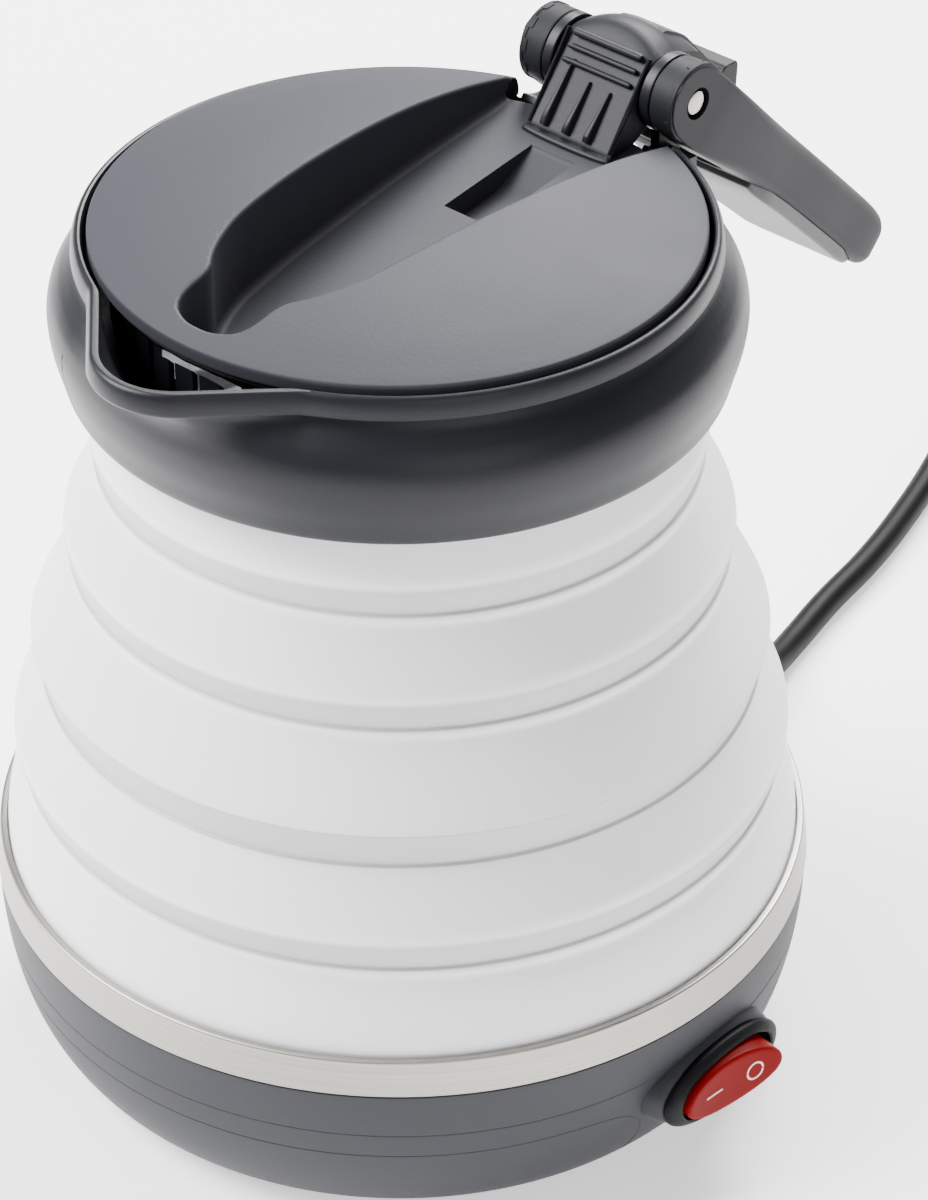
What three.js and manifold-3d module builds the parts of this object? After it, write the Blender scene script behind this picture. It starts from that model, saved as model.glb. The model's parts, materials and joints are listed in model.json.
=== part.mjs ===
// Collapsible travel kettle: a rounded base with the heater and the switch, a silicone bellows in two
// groups of folds, a collar with a spout, a lid with a thumb lever, and a forked handle that folds into
// the lid. Millimetres, +Z up. The origin is the centre of the base at table level, the spout points to
// -Y, the hinge, the handle and the cord are at +Y, and the switch is at +X.
import * as THREE from 'three';
import { mergeVertices } from 'three/addons/utils/BufferGeometryUtils.js';
import Module from 'manifold-3d';

const wasm = await Module();
wasm.setup();

// Fits and facets
const seatGap = 0.3;
const pinGap = 0.35;
const overrun = 4;
const turnFacets = 42;
const hiddenFacets = 32;
const smallFacets = 16;

// Base shell
const bowlRadius = 74.8;
const footShare = 0.8155;
const footRadius = bowlRadius * footShare;
const shellLift = 1;
const shoulderHeight = 35.5;
const shellWall = 2.4;
const neckInset = 1.8;
const neckRadius = bowlRadius - neckInset;
const neckWall = 2.6;
const neckRise = 3;
const footRim = 3.5;
const ledgeReach = 3;
const ledgeHeight = 2;
const bowlShares = { footReach: 0.6, footRise: 0.05, wallDrop: 0.56 };
const bowlSteps = 8;
const bowlInnerSteps = 5;

// Base plate, its feet and screws
const plateUnderside = 1.2;
const plateThickness = 2.2;
const standInset = 13;
const standRadius = footRadius - standInset;
const padRadius = 6;
const padSink = 0.6;
const standCount = 3;
const screwHeadRadius = 2.9;
const screwHeadHeight = 1.4;
const screwShankRadius = 1.4;
const screwLength = 9;
const screwSlotWidth = 0.8;
const screwSlotDepth = 0.6;
const bossWall = 2;
const bossRise = 10;
const ribWidth = 2.4;
const ribReach = 15;

// Steel band round the base
const bandHeight = 7.1;
const bandProud = 0.2;
const bandLean = 0.9;
const bandBottomRadius = bowlRadius + bandProud;
const bandTopRadius = bandBottomRadius - bandLean;
const bandWall = 0.7;
const bandLip = 1.2;

// Heater pan, element and cut-out
const panWall = 0.8;
const panFloor = 30.6;
const panRimInset = 0.4;
const panRimWidth = 6.6;
const panCorner = 5;
const panRim = neckRadius - panRimInset;
const panRadius = panRim - panRimWidth;
const elementRadius = 38;
const elementTube = 3.6;
const cutoutRadius = 16;
const cutoutHeight = 9;

// Silicone bellows: wide bands that lean in, joined by short strips
const siliconeWall = 2;
const beadProud = 0.1;
const footBeadRadius = neckRadius + beadProud;
const footBeadHeight = 1.8;
const collarBottom = 139.4;
const creaseTopRadius = 50.6;
const creaseTopGap = 0.2;
const creaseInset = 2.3;
const creaseBottomRadius = bowlRadius - creaseInset;
const creaseBottomHeight = shoulderHeight + bandHeight + 2 * seatGap;
const creaseTopHeight = collarBottom - creaseTopGap;
// rows of radius share between the top crease and the bottom one, and height share between them
const creaseShares = {
  bottom: [1, 0],
  firstIn: [0.8402, 0.1646],
  firstOut: [0.9224, 0.2333],
  secondIn: [0.6484, 0.3656],
  secondOut: [0.7123, 0.4458],
  thirdIn: [0.3699, 0.6156],
  thirdOut: [0.4201, 0.6792],
  fourthIn: [0.1324, 0.8208],
  fourthOut: [0.1735, 0.8833],
  top: [0, 1],
};
const creases = Object.fromEntries(Object.entries(creaseShares).map(([name, [wide, high]]) => [name, {
  radius: creaseTopRadius + wide * (creaseBottomRadius - creaseTopRadius),
  height: creaseBottomHeight + high * (creaseTopHeight - creaseBottomHeight),
}]));
const flangeReach = 4.3;
const bellowsFlange = creaseTopRadius + flangeReach;
const bellowsFlangeHeight = 2.4;

// Collar ring with its rim and spout
const collarHeight = 26.7;
const flangeSeatGap = 0.7;
const flangeSeatRadius = bellowsFlange + flangeSeatGap;
const rimInset = 0.6;
const rimRadius = flangeSeatRadius - rimInset;
const rimTop = collarBottom + collarHeight;
const beltProud = 5;
const beltRadius = rimRadius + beltProud;
const rimWall = 1.6;
const flangeSeatRise = 4.2;
const ledgeInset = 1;
const collarLedge = creaseTopRadius - ledgeInset;
const collarLedgeHeight = 3.4;
const clampInset = 0.5;
const clampInner = creaseTopRadius + clampInset;
const clampThickness = 1.1;
const spoutProud = 12.5;
const spoutReach = rimRadius + spoutProud;
const noseRadius = 14.7;
const lipWall = 2;
const collarFacets = 38;
const spoutSide = Math.PI / 4;
const spoutFan = 32.5 * Math.PI / 180;
const spoutFacets = 20;
// rows of height share of the collar, belly share from rim to belt, share of the spout's reach
const collarOuterShares = [
  [0, 0.38, 0], [0.03, 0.54, 0], [0.142, 0.68, 0], [0.303, 0.92, 0], [0.453, 1, 0],
  [0.569, 0.88, 0.03], [0.652, 0.64, 0.2], [0.719, 0.36, 0.42], [0.779, 0.14, 0.66],
  [0.839, 0.02, 0.9], [0.955, 0, 1], [0.989, -0.06, 1], [1, -0.16, 1],
];
// rows of height share of the collar and share of the spout's reach on the inner wall
const collarInnerShares = [[0.985, 1], [0.697, 0.5], [0.397, 0]];

// Hinge: pin, lid lever in the middle, collar ears beside it, handle arms outside
const hingeProud = 3.3;
const hingeRise = 5;
const hingeY = rimRadius + hingeProud;
const hingeZ = rimTop + hingeRise;
const pinRadius = 2.5;
const leverHalf = 9.6;
const hingeGap = 0.5;
const earWidth = 2.1;
const knuckleRadius = 7.2;
const saddleRadius = 10.6;
const saddleGap = 0.7;
const earNeckFront = 3.6;
const earNeckBack = 2.2;
const earNeckDrop = 17.5;

// Lid
const lidGap = 0.8;
const lidRadius = rimRadius - rimWall - lidGap;
const lidWall = 2.4;
const lidProud = 0.8;
const lidEdgeHeight = 2.6;
const lidEdgeTop = rimTop + lidProud;
const lidEdgeBottom = lidEdgeTop - lidEdgeHeight;
const lidDomeRise = 6.9;
const lidSkirtInset = 6.2;
const lidSkirtRadius = lidRadius - lidSkirtInset;
const lidSkirtWall = 1.5;
const lidSkirtDrop = 4;
const domeShares = [[0.2, 0.97], [0.4, 0.87], [0.6, 0.69], [0.8, 0.41], [0.95, 0.12]];
const edgeRound = 0.7;

// Recess in the lid for the folded handle, with a finger nose at the front
const recessHalf = 18.3;
const recessNoseInset = 2.6;
const recessNose = lidRadius - recessNoseInset;
const recessOverrun = 5.4;
const recessRear = lidRadius + recessOverrun;
const recessClear = 0.5;
const recessWall = 2.4;
// rows of half-width share of recessHalf and place share of recessNose ahead of the centre
const recessShares = [
  [0.2, 0.955], [0.33, 0.93], [0.4, 0.89], [0.425, 0.84], [0.43, 0.78], [0.47, 0.725],
  [0.58, 0.67], [0.69, 0.59], [0.79, 0.47], [0.86, 0.3], [0.92, 0.04], [0.985, -0.46],
];
// rows of rise share of scoopRise and place share of recessNose for the nose's scooped floor
const scoopRise = 14;
const scoopShares = [[0, 0.7], [0.14, 0.8], [0.34, 0.88], [0.62, 0.95], [1, 1.01]];
const pocketHalf = 5;
const pocketFront = 17.3;
const pocketRear = 41;
const pocketRamp = 10;
const pocketDepth = 4.6;
const pocketWall = 1.6;

// Thumb lever on the lid
const leverRootInset = 13.9;
const leverRootY = hingeY - leverRootInset;
const leverRootRise = 6;
const leverHeadInset = 1.6;
const leverTopRise = 9.3;
const leverCrown = 1.1;
const leverCrownLength = 8;
const leverTabReach = 26.6;
const leverTabDrop = 6.9;
const leverTabThick = 6;
const leverTabHalf = 5.2;
const leverTabLip = 3.1;
const leverTabLipRise = 1.1;
const leverShoulderReach = 11.5;
const leverWaistDrop = 5.2;
const gripRibCount = 3;
const gripRibHeight = 0.9;
const gripRibDepth = 0.6;
const gripRibPitch = 2.7;
const finRibHalf = 0.9;
const finRibDepth = 0.9;
const finRibShares = [[-0.62, 0.7], [-0.1, 0.5], [0.4, 0.5]];

// Strainer cup and seal under the lid
const strainerInset = 3.4;
const strainerRadius = lidRadius - strainerInset;
const strainerWall = 1.2;
const strainerDrop = 14.6;
const slotWidth = 1.6;
const slotPitch = 6;
const slotTopGap = 2.6;
const slotBottomGap = 2.4;
const sealInset = 0.9;
const sealRadius = lidRadius - sealInset;
const sealHeight = 1.8;

// Handle, in its own frame: the pin's axis at the origin, the length along +Y, the outer face at +Z
const handleSlope = 43.5 * Math.PI / 180;
const handleFold = 229 * Math.PI / 180;
const handleLength = 93.5;
const handleHalf = 17.7;
const handleRise = 6.9;
const handleDrop = 7.1;
const handleKnuckle = 7.6;
const forkLength = 31;
const forkRootLength = 14.5;
const forkRound = 3;
const sectionCorner = 2.6;
// rows of length share, half-width share of handleHalf, rise share and drop share of the section
const handleShares = [
  [-0.086, 0.97, 0.22, 0.22], [-0.076, 0.985, 0.62, 0.55], [-0.059, 1, 0.86, 0.79],
  [-0.03, 1, 0.97, 0.94], [0.045, 1, 1, 1], [0.125, 1, 1, 0.94], [0.3, 0.955, 1, 0.72],
  [0.52, 0.865, 1, 0.63], [0.75, 0.755, 1, 0.61], [0.88, 0.695, 0.97, 0.62],
  [0.945, 0.625, 0.86, 0.57], [0.983, 0.5, 0.6, 0.42], [1, 0.34, 0.24, 0.18],
];
const coverMargin = 2.3;
const coverSink = 1.3;
const coverCrown = 1.6;
const coverEdge = 0.8;
const coverShares = [0.4, 0.52, 0.66, 0.8, 0.885];
const coverPlayShare = 0.004;

// Rocker switch at +X
const switchHeight = 20.4;
const switchProud = 3.5;
const switchFace = bowlRadius + switchProud;
const bossHalfLength = 17;
const bossHalfHeight = 9.6;
const bossProud = 1.6;
const bossFace = bowlRadius + bossProud;
const bossDepth = 8;
const bossFlare = 1.6;
const bezelHalfLength = 14.5;
const bezelHalfHeight = 7.4;
const bezelThickness = 1.6;
const switchBodyHalfLength = 13.3;
const switchBodyHalfHeight = 6.8;
const switchBodyDepth = 12;
const switchPocketDepth = 9;
const rockerHalfLength = 11.7;
const rockerHalfHeight = 5.3;
const rockerRise = 2.9;
const rockerSink = 5.4;
const rockerPivotSink = 3.4;
const rockerTilt = 8 * Math.PI / 180;
const rockerDish = 1.1;
const rockerStub = 1.1;
const ovalPower = 2.4;

// Strain relief, cord and plug
const cordRadius = 3;
const cordFloorGap = 0.3;
const reliefHeight = 12;
const reliefNeck = 5.2;
const reliefFlange = 7;
const reliefFlangeLength = 2;
const reliefInside = 8;
const reliefTailRadius = 4.1;
const reliefLength = 18;
const reliefRibCount = 4;
const reliefGroove = 0.7;
const cordSides = 8;
const cordSteps = 28;
const coilAside = -10;
const coilAway = 192.58;
const coilLead = 12;
const coilRadius = 38;
const coilPitch = 7;
const coilLift = 6.7;
const coilLayerTurns = 1;
const coilClimbTurns = 0.5;
const coilStepsPerTurn = 20;
const coilSides = 6;
const plugLength = 36;
const plugHalfWidth = 13;
const plugHalfHeight = 6.8;
const plugRearRadius = 4.6;
const plugSpacing = 19;
const plugPinRadius = 2;
const plugPinLength = 19;
const plugPinSink = 4;
const plugAside = 31;
const plugBack = 48;
// rows of length share, width share and height share of the plug's body
const plugShares = [
  [0, 0, 0], [0.18, 0.05, 0.1], [0.42, 0.55, 0.6], [0.62, 0.92, 0.95], [0.95, 1, 1], [1, 0.94, 0.9],
];

// Colours and finishes
const finishes = {
  shell: { color: 0x64646a, roughness: 0.5, metalness: 0 },
  collar: { color: 0x4a4a52, roughness: 0.5, metalness: 0 },
  lid: { color: 0x72727a, roughness: 0.55, metalness: 0 },
  handle: { color: 0x4c4c54, roughness: 0.5, metalness: 0 },
  cover: { color: 0x9a9aa0, roughness: 0.5, metalness: 0 },
  silicone: { color: 0xe2e2e8, roughness: 0.45, metalness: 0 },
  steel: { color: 0xc4c0bb, roughness: 0.35, metalness: 1 },
  black: { color: 0x141416, roughness: 0.55, metalness: 0 },
  red: { color: 0xc8202a, roughness: 0.3, metalness: 0 },
  rubber: { color: 0x1c1c1e, roughness: 0.8, metalness: 0 },
};

const kettle = new THREE.Group();

function addPiece(parent, name, geometry, finish) {
  const material = new THREE.MeshStandardMaterial(finishes[finish]);
  const mesh = new THREE.Mesh(facingOut(geometry), material);
  mesh.name = name;
  parent.add(mesh);
  return mesh;
}

// Turns a closed geometry's faces outwards, going by the sign of its volume
function facingOut(geometry) {
  const place = geometry.attributes.position;
  const index = geometry.index.array;
  const [a, b, c] = [new THREE.Vector3(), new THREE.Vector3(), new THREE.Vector3()];
  let volume = 0;
  for (let i = 0; i < index.length; i += 3) {
    a.fromBufferAttribute(place, index[i]);
    b.fromBufferAttribute(place, index[i + 1]);
    c.fromBufferAttribute(place, index[i + 2]);
    volume += a.dot(b.cross(c));
  }
  if (volume < 0) {
    for (let i = 0; i < index.length; i += 3) {
      [index[i], index[i + 1]] = [index[i + 1], index[i]];
    }
  }
  return geometry;
}

// Welds a geometry's corners and drops the triangles that have none left
function welded(geometry) {
  const bare = geometry.clone();
  bare.deleteAttribute('normal');
  bare.deleteAttribute('uv');
  const merged = mergeVertices(bare);
  const old = merged.index.array;
  const kept = [];
  for (let i = 0; i < old.length; i += 3) {
    const [p, q, r] = [old[i], old[i + 1], old[i + 2]];
    if (p !== q && q !== r && r !== p) kept.push(p, q, r);
  }
  merged.setIndex(kept);
  return facingOut(merged);
}

function solidOf(geometry) {
  const closed = welded(geometry);
  return new wasm.Manifold(new wasm.Mesh({
    numProp: 3,
    vertProperties: new Float32Array(closed.attributes.position.array),
    triVerts: new Uint32Array(closed.index.array),
  }));
}

function geometryOf(solid) {
  const mesh = solid.getMesh();
  const geometry = new THREE.BufferGeometry();
  geometry.setAttribute('position', new THREE.BufferAttribute(new Float32Array(mesh.vertProperties), 3));
  geometry.setIndex(new THREE.BufferAttribute(new Uint32Array(mesh.triVerts), 1));
  return geometry;
}

// A body of revolution about +Z from [radius, height] points that close on themselves or on the axis
function turned(profile, facets = turnFacets) {
  const points = profile.map(([radius, height]) => new THREE.Vector2(radius, height));
  if (profile[0][0] > 0 || profile[profile.length - 1][0] > 0) points.push(points[0].clone());
  const geometry = new THREE.LatheGeometry(points, facets);
  geometry.rotateX(Math.PI / 2);
  return welded(geometry);
}

function shapeOf(outline) {
  return new THREE.Shape(outline.map(([a, b]) => new THREE.Vector2(a, b)));
}

// A prism along X of a [y, z] outline
function acrossX(outline, from, to) {
  const geometry = new THREE.ExtrudeGeometry(shapeOf(outline), { depth: to - from, bevelEnabled: false });
  const turn = new THREE.Matrix4().makeBasis(
    new THREE.Vector3(0, 1, 0), new THREE.Vector3(0, 0, 1), new THREE.Vector3(1, 0, 0),
  );
  geometry.applyMatrix4(turn);
  geometry.translate(from, 0, 0);
  return geometry;
}

// A prism along Z of an [x, y] outline
function upZ(outline, from, to) {
  const geometry = new THREE.ExtrudeGeometry(shapeOf(outline), { depth: to - from, bevelEnabled: false });
  geometry.translate(0, 0, from);
  return geometry;
}

function circleOutline(centreA, centreB, radius, count = smallFacets) {
  return Array.from({ length: count }, (_, i) => {
    const angle = i * 2 * Math.PI / count;
    return [centreA + radius * Math.cos(angle), centreB + radius * Math.sin(angle)];
  });
}

function ovalOutline(centreA, centreB, halfA, halfB, count = 32) {
  const bend = 2 / ovalPower;
  return Array.from({ length: count }, (_, i) => {
    const [c, s] = [Math.cos(i * 2 * Math.PI / count), Math.sin(i * 2 * Math.PI / count)];
    return [
      centreA + halfA * Math.sign(c) * Math.abs(c) ** bend,
      centreB + halfB * Math.sign(s) * Math.abs(s) ** bend,
    ];
  });
}

// Skins a row of rings of equal count; open rows get a fan at each end, closed rows join up
function skinned(rings, closedRow = false) {
  const count = rings[0].length;
  const points = rings.flat();
  const index = [];
  const last = closedRow ? rings.length : rings.length - 1;
  for (let i = 0; i < last; i += 1) {
    const next = (i + 1) % rings.length;
    for (let j = 0; j < count; j += 1) {
      const [a, b] = [i * count + j, i * count + (j + 1) % count];
      const [c, d] = [next * count + (j + 1) % count, next * count + j];
      index.push(a, b, c, a, c, d);
    }
  }
  if (!closedRow) {
    for (const [start, forward] of [[0, false], [(rings.length - 1) * count, true]]) {
      const hub = new THREE.Vector3();
      for (let j = 0; j < count; j += 1) hub.addScaledVector(points[start + j], 1 / count);
      points.push(hub);
      for (let j = 0; j < count; j += 1) {
        const [a, b] = [start + j, start + (j + 1) % count];
        if (forward) index.push(a, b, points.length - 1);
        else index.push(b, a, points.length - 1);
      }
    }
  }
  const geometry = new THREE.BufferGeometry().setFromPoints(points);
  geometry.setIndex(index);
  return facingOut(geometry);
}

function tubeAlong(curve, radius, sides, steps) {
  const geometry = new THREE.ExtrudeGeometry(
    shapeOf(circleOutline(0, 0, radius, sides)),
    { steps, extrudePath: curve, bevelEnabled: false },
  );
  return welded(geometry);
}

// Radius of the bowl's outer or inner wall: a curve from the foot to the shoulder
function bowlWall(inset) {
  const foot = new THREE.Vector2(footRadius - inset, shellLift + inset);
  const top = new THREE.Vector2(bowlRadius - inset, shoulderHeight);
  const rise = top.y - foot.y;
  const curve = new THREE.CubicBezierCurve(
    foot,
    new THREE.Vector2(foot.x + (top.x - foot.x) * bowlShares.footReach, foot.y + rise * bowlShares.footRise),
    new THREE.Vector2(top.x, top.y - rise * bowlShares.wallDrop),
    top,
  );
  return curve;
}

function bowlPoints(inset, steps = bowlSteps) {
  return bowlWall(inset).getPoints(steps).map((p) => [p.x, p.y]);
}

// The bowl's outer radius at a height
function bowlRadiusAt(height) {
  const points = bowlPoints(0);
  for (let i = 1; i < points.length; i += 1) {
    if (points[i][1] >= height) {
      const share = (height - points[i - 1][1]) / (points[i][1] - points[i - 1][1]);
      return points[i - 1][0] + share * (points[i][0] - points[i - 1][0]);
    }
  }
  return bowlRadius;
}

function aroundZ(geometry, angle) {
  geometry.rotateZ(angle);
  return geometry;
}

const plateTop = plateUnderside + plateThickness;
const neckTop = shoulderHeight + neckRise;
const plateRadius = footRadius - footRim - seatGap;
const reliefFace = bowlRadiusAt(reliefHeight);
const reliefStand = bowlRadiusAt(reliefHeight + reliefFlange) + seatGap - reliefFace;
const standAngles = Array.from({ length: standCount }, (_, i) => Math.PI / 2 + i * 2 * Math.PI / standCount);
const screwAngles = standAngles.map((angle) => angle + Math.PI / standCount);

function baseShell() {
  const innerFoot = plateTop + ledgeHeight + seatGap;
  const inner = bowlPoints(shellWall, bowlInnerSteps).filter(([, height]) => height > innerFoot);
  const seat = plateRadius + seatGap;
  const profile = [
    [seat, shellLift],
    ...bowlPoints(0),
    [neckRadius, shoulderHeight],
    [neckRadius, neckTop],
    [neckRadius - neckWall, neckTop],
    [neckRadius - neckWall, shoulderHeight],
    ...inner.reverse(),
    [seat - ledgeReach, plateTop + seatGap + ledgeHeight],
    [seat - ledgeReach, plateTop + seatGap],
    [seat, plateTop + seatGap],
  ];
  let shell = solidOf(turned(profile));
  // screw bosses on ribs that run out to the wall
  const bossRadius = screwShankRadius + seatGap + bossWall;
  const bossBottom = plateTop + seatGap;
  for (const angle of screwAngles) {
    const [x, y] = [standRadius * Math.cos(angle), standRadius * Math.sin(angle)];
    const rib = upZ([
      [standRadius, -ribWidth / 2], [standRadius + ribReach, -ribWidth / 2],
      [standRadius + ribReach, ribWidth / 2], [standRadius, ribWidth / 2],
    ], bossBottom + ledgeHeight / 2, bossBottom + bossRise);
    shell = shell.add(solidOf(aroundZ(rib, angle)));
    shell = shell.add(solidOf(upZ(circleOutline(x, y, bossRadius), bossBottom, bossBottom + bossRise)));
    const bore = upZ(
      circleOutline(x, y, screwShankRadius + seatGap), bossBottom - overrun, plateTop + screwLength,
    );
    shell = shell.subtract(solidOf(bore));
  }
  // the switch's boss, with its sides flaring into the wall, and its opening
  const rings = [bossFace - bossDepth, bossFace].map((x, i) => {
    const grow = i ? 0 : bossFlare;
    return ovalOutline(0, switchHeight, bossHalfLength + grow, bossHalfHeight + grow)
      .map(([y, z]) => new THREE.Vector3(x, y, z));
  });
  shell = shell.add(solidOf(skinned(rings)));
  const opening = acrossX(
    ovalOutline(0, switchHeight, switchBodyHalfLength + seatGap, switchBodyHalfHeight + seatGap),
    bossFace - bossDepth - overrun, bossFace + overrun,
  );
  shell = shell.subtract(solidOf(opening));
  // the cord's hole
  const holeRadius = reliefNeck + seatGap;
  const hole = turned([[0, 0], [holeRadius, 0], [holeRadius, overrun * 4], [0, overrun * 4]], smallFacets);
  hole.rotateX(-Math.PI / 2);
  hole.translate(0, reliefFace - overrun * 3, reliefHeight);
  return geometryOf(shell.subtract(solidOf(hole)));
}

function basePlate() {
  let plate = solidOf(turned([
    [0, plateUnderside], [plateRadius, plateUnderside], [plateRadius, plateTop], [0, plateTop],
  ]));
  for (const angle of standAngles) {
    const recess = upZ(
      circleOutline(standRadius * Math.cos(angle), standRadius * Math.sin(angle), padRadius + seatGap),
      plateUnderside - overrun, plateUnderside + padSink + seatGap,
    );
    plate = plate.subtract(solidOf(recess));
  }
  for (const angle of screwAngles) {
    const [x, y] = [standRadius * Math.cos(angle), standRadius * Math.sin(angle)];
    const head = upZ(
      circleOutline(x, y, screwHeadRadius + seatGap),
      plateUnderside - overrun, plateUnderside + seatGap + screwHeadHeight + seatGap,
    );
    const shank = upZ(circleOutline(x, y, screwShankRadius + seatGap), plateUnderside, plateTop + overrun);
    plate = plate.subtract(solidOf(head)).subtract(solidOf(shank));
  }
  return geometryOf(plate);
}

function footPad(angle) {
  const pad = turned([
    [0, 0], [padRadius - padSink, 0], [padRadius, padSink], [padRadius, plateUnderside + padSink],
    [0, plateUnderside + padSink],
  ], smallFacets);
  pad.translate(standRadius * Math.cos(angle), standRadius * Math.sin(angle), 0);
  return pad;
}

function baseScrew(angle) {
  const bottom = plateUnderside + seatGap;
  let screw = solidOf(turned([
    [0, bottom], [screwHeadRadius, bottom], [screwHeadRadius, bottom + screwHeadHeight],
    [screwShankRadius, bottom + screwHeadHeight], [screwShankRadius, plateTop + screwLength - seatGap],
    [0, plateTop + screwLength - seatGap],
  ], smallFacets));
  const slot = [
    [-screwHeadRadius, -screwSlotWidth / 2], [screwHeadRadius, -screwSlotWidth / 2],
    [screwHeadRadius, screwSlotWidth / 2], [-screwHeadRadius, screwSlotWidth / 2],
  ].map(([x, y]) => [x * 0.7, y]);
  const first = upZ(slot, bottom - overrun, bottom + screwSlotDepth);
  const second = aroundZ(first.clone(), Math.PI / 2);
  screw = screw.subtract(solidOf(first).add(solidOf(second)));
  const geometry = geometryOf(screw);
  geometry.translate(standRadius * Math.cos(angle), standRadius * Math.sin(angle), 0);
  return geometry;
}

function steelBand() {
  const bottom = shoulderHeight + seatGap;
  const top = bottom + bandHeight;
  return turned([
    [bandBottomRadius - bandWall, bottom],
    [bandBottomRadius, bottom],
    [bandTopRadius, top],
    [bandTopRadius - bandLip, top],
    [bandTopRadius - bandLip, top - bandWall],
    [bandTopRadius - bandWall, top - bandWall],
  ]);
}

const panRimTop = neckTop + seatGap + panWall;

function heaterPan() {
  const underside = panFloor - panWall;
  const corner = [0, 1, 2].map((i) => i / 2 * Math.PI / 2);
  const hub = panRadius - panCorner;
  return turned([
    [0, underside],
    ...corner.map((a) => [hub + panCorner * Math.sin(a), underside + panCorner * (1 - Math.cos(a))]),
    [panRadius, neckTop + seatGap],
    [panRim, neckTop + seatGap],
    [panRim, panRimTop],
    [panRadius - panWall, panRimTop],
    ...corner.map((a) => [
      hub + (panCorner - panWall) * Math.sin(a),
      panFloor + (panCorner - panWall) * (1 - Math.cos(a)),
    ]).reverse(),
    [0, panFloor],
  ], hiddenFacets);
}

function heatingElement() {
  const height = panFloor - panWall - seatGap - elementTube;
  return turned(circleOutline(elementRadius, height, elementTube, 8), hiddenFacets);
}

function cutOut() {
  const top = panFloor - panWall - seatGap;
  return turned([
    [0, top - cutoutHeight], [cutoutRadius / 2, top - cutoutHeight],
    [cutoutRadius / 2, top - cutoutHeight / 2], [cutoutRadius, top - cutoutHeight / 2],
    [cutoutRadius, top], [0, top],
  ], smallFacets);
}

function bellowsLower() {
  const { bottom, firstIn, firstOut, secondIn } = creases;
  const foot = panRimTop + seatGap;
  const t = siliconeWall;
  return turned([
    [bottom.radius - t * 1.7, foot],
    [footBeadRadius, foot],
    [footBeadRadius, foot + footBeadHeight],
    [bottom.radius, foot + footBeadHeight + seatGap],
    [bottom.radius, bottom.height],
    [firstIn.radius, firstIn.height],
    [firstOut.radius, firstOut.height],
    [secondIn.radius, secondIn.height],
    [secondIn.radius - t, secondIn.height],
    [firstOut.radius - t, firstOut.height - t / 4],
    [firstIn.radius - t, firstIn.height + t / 4],
    [bottom.radius - t, bottom.height],
  ]);
}

function bellowsRing() {
  const { secondIn, secondOut } = creases;
  const t = siliconeWall;
  return turned([
    [secondIn.radius, secondIn.height + seatGap],
    [secondOut.radius, secondOut.height],
    [secondOut.radius - t, secondOut.height],
    [secondIn.radius - t, secondIn.height + seatGap],
  ]);
}

const flangeTop = collarBottom + flangeSeatRise - seatGap;

function bellowsUpper() {
  const { secondOut, thirdIn, thirdOut, fourthIn, fourthOut, top } = creases;
  const t = siliconeWall;
  const flangeBottom = flangeTop - bellowsFlangeHeight;
  return turned([
    [secondOut.radius, secondOut.height + seatGap],
    [thirdIn.radius, thirdIn.height],
    [thirdOut.radius, thirdOut.height],
    [fourthIn.radius, fourthIn.height],
    [fourthOut.radius, fourthOut.height],
    [top.radius, top.height],
    [top.radius, flangeBottom],
    [bellowsFlange, flangeBottom],
    [bellowsFlange, flangeTop],
    [top.radius - t * 1.3, flangeTop],
    [top.radius - t, top.height],
    [fourthOut.radius - t, fourthOut.height - t / 4],
    [fourthIn.radius - t, fourthIn.height + t / 4],
    [thirdOut.radius - t, thirdOut.height - t / 4],
    [thirdIn.radius - t, thirdIn.height + t / 4],
    [secondOut.radius - t, secondOut.height + seatGap],
  ]);
}

function clampRing() {
  const top = flangeTop - bellowsFlangeHeight - seatGap;
  return turned([
    [clampInner, top - clampThickness], [flangeSeatRadius - seatGap, top - clampThickness],
    [flangeSeatRadius - seatGap, top], [clampInner, top],
  ], hiddenFacets);
}

// How far the spout's outline lies from the kettle's axis, at an angle from the spout's own axis
function spoutRadius(angle, nose) {
  const centre = spoutReach - noseRadius;
  const tangent = Math.atan2(nose * Math.sin(spoutSide), centre + nose * Math.cos(spoutSide));
  if (angle < tangent) {
    return centre * Math.cos(angle) + Math.sqrt(nose ** 2 - (centre * Math.sin(angle)) ** 2);
  }
  if (angle < spoutSide) return (centre * Math.cos(spoutSide) + nose) / Math.cos(angle - spoutSide);
  return 0;
}

function collarLoft() {
  const angles = [];
  for (let i = 0; i < spoutFacets; i += 1) angles.push((2 * i / spoutFacets - 1) * spoutFan);
  for (let i = 0; i < collarFacets; i += 1) {
    angles.push(spoutFan + i * 2 * (Math.PI - spoutFan) / collarFacets);
  }
  const boreRadius = rimRadius - rimWall;
  return skinned(angles.map((turn) => {
    const away = Math.abs(turn > Math.PI ? turn - 2 * Math.PI : turn);
    const grow = Math.max(rimRadius, spoutRadius(away, noseRadius)) - rimRadius;
    const growInside = Math.max(boreRadius, spoutRadius(away, noseRadius - lipWall)) - boreRadius;
    const profile = [
      ...collarOuterShares.map(([height, belly, spout]) => [
        rimRadius + belly * (beltRadius - rimRadius) + spout * grow, collarBottom + height * collarHeight,
      ]),
      ...collarInnerShares.map(([height, spout]) => [
        boreRadius + spout * growInside, collarBottom + height * collarHeight,
      ]),
      [boreRadius, collarBottom + flangeSeatRise + collarLedgeHeight],
      [collarLedge, collarBottom + flangeSeatRise + collarLedgeHeight],
      [collarLedge, collarBottom + flangeSeatRise],
      [flangeSeatRadius, collarBottom + flangeSeatRise],
      [flangeSeatRadius, collarBottom],
    ];
    return profile.map(([radius, height]) => new THREE.Vector3(
      radius * Math.sin(turn), -radius * Math.cos(turn), height,
    ));
  }), true);
}

const earInner = leverHalf + hingeGap;
const earOuter = earInner + earWidth;
const armInner = earOuter + hingeGap / 2;

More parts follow.
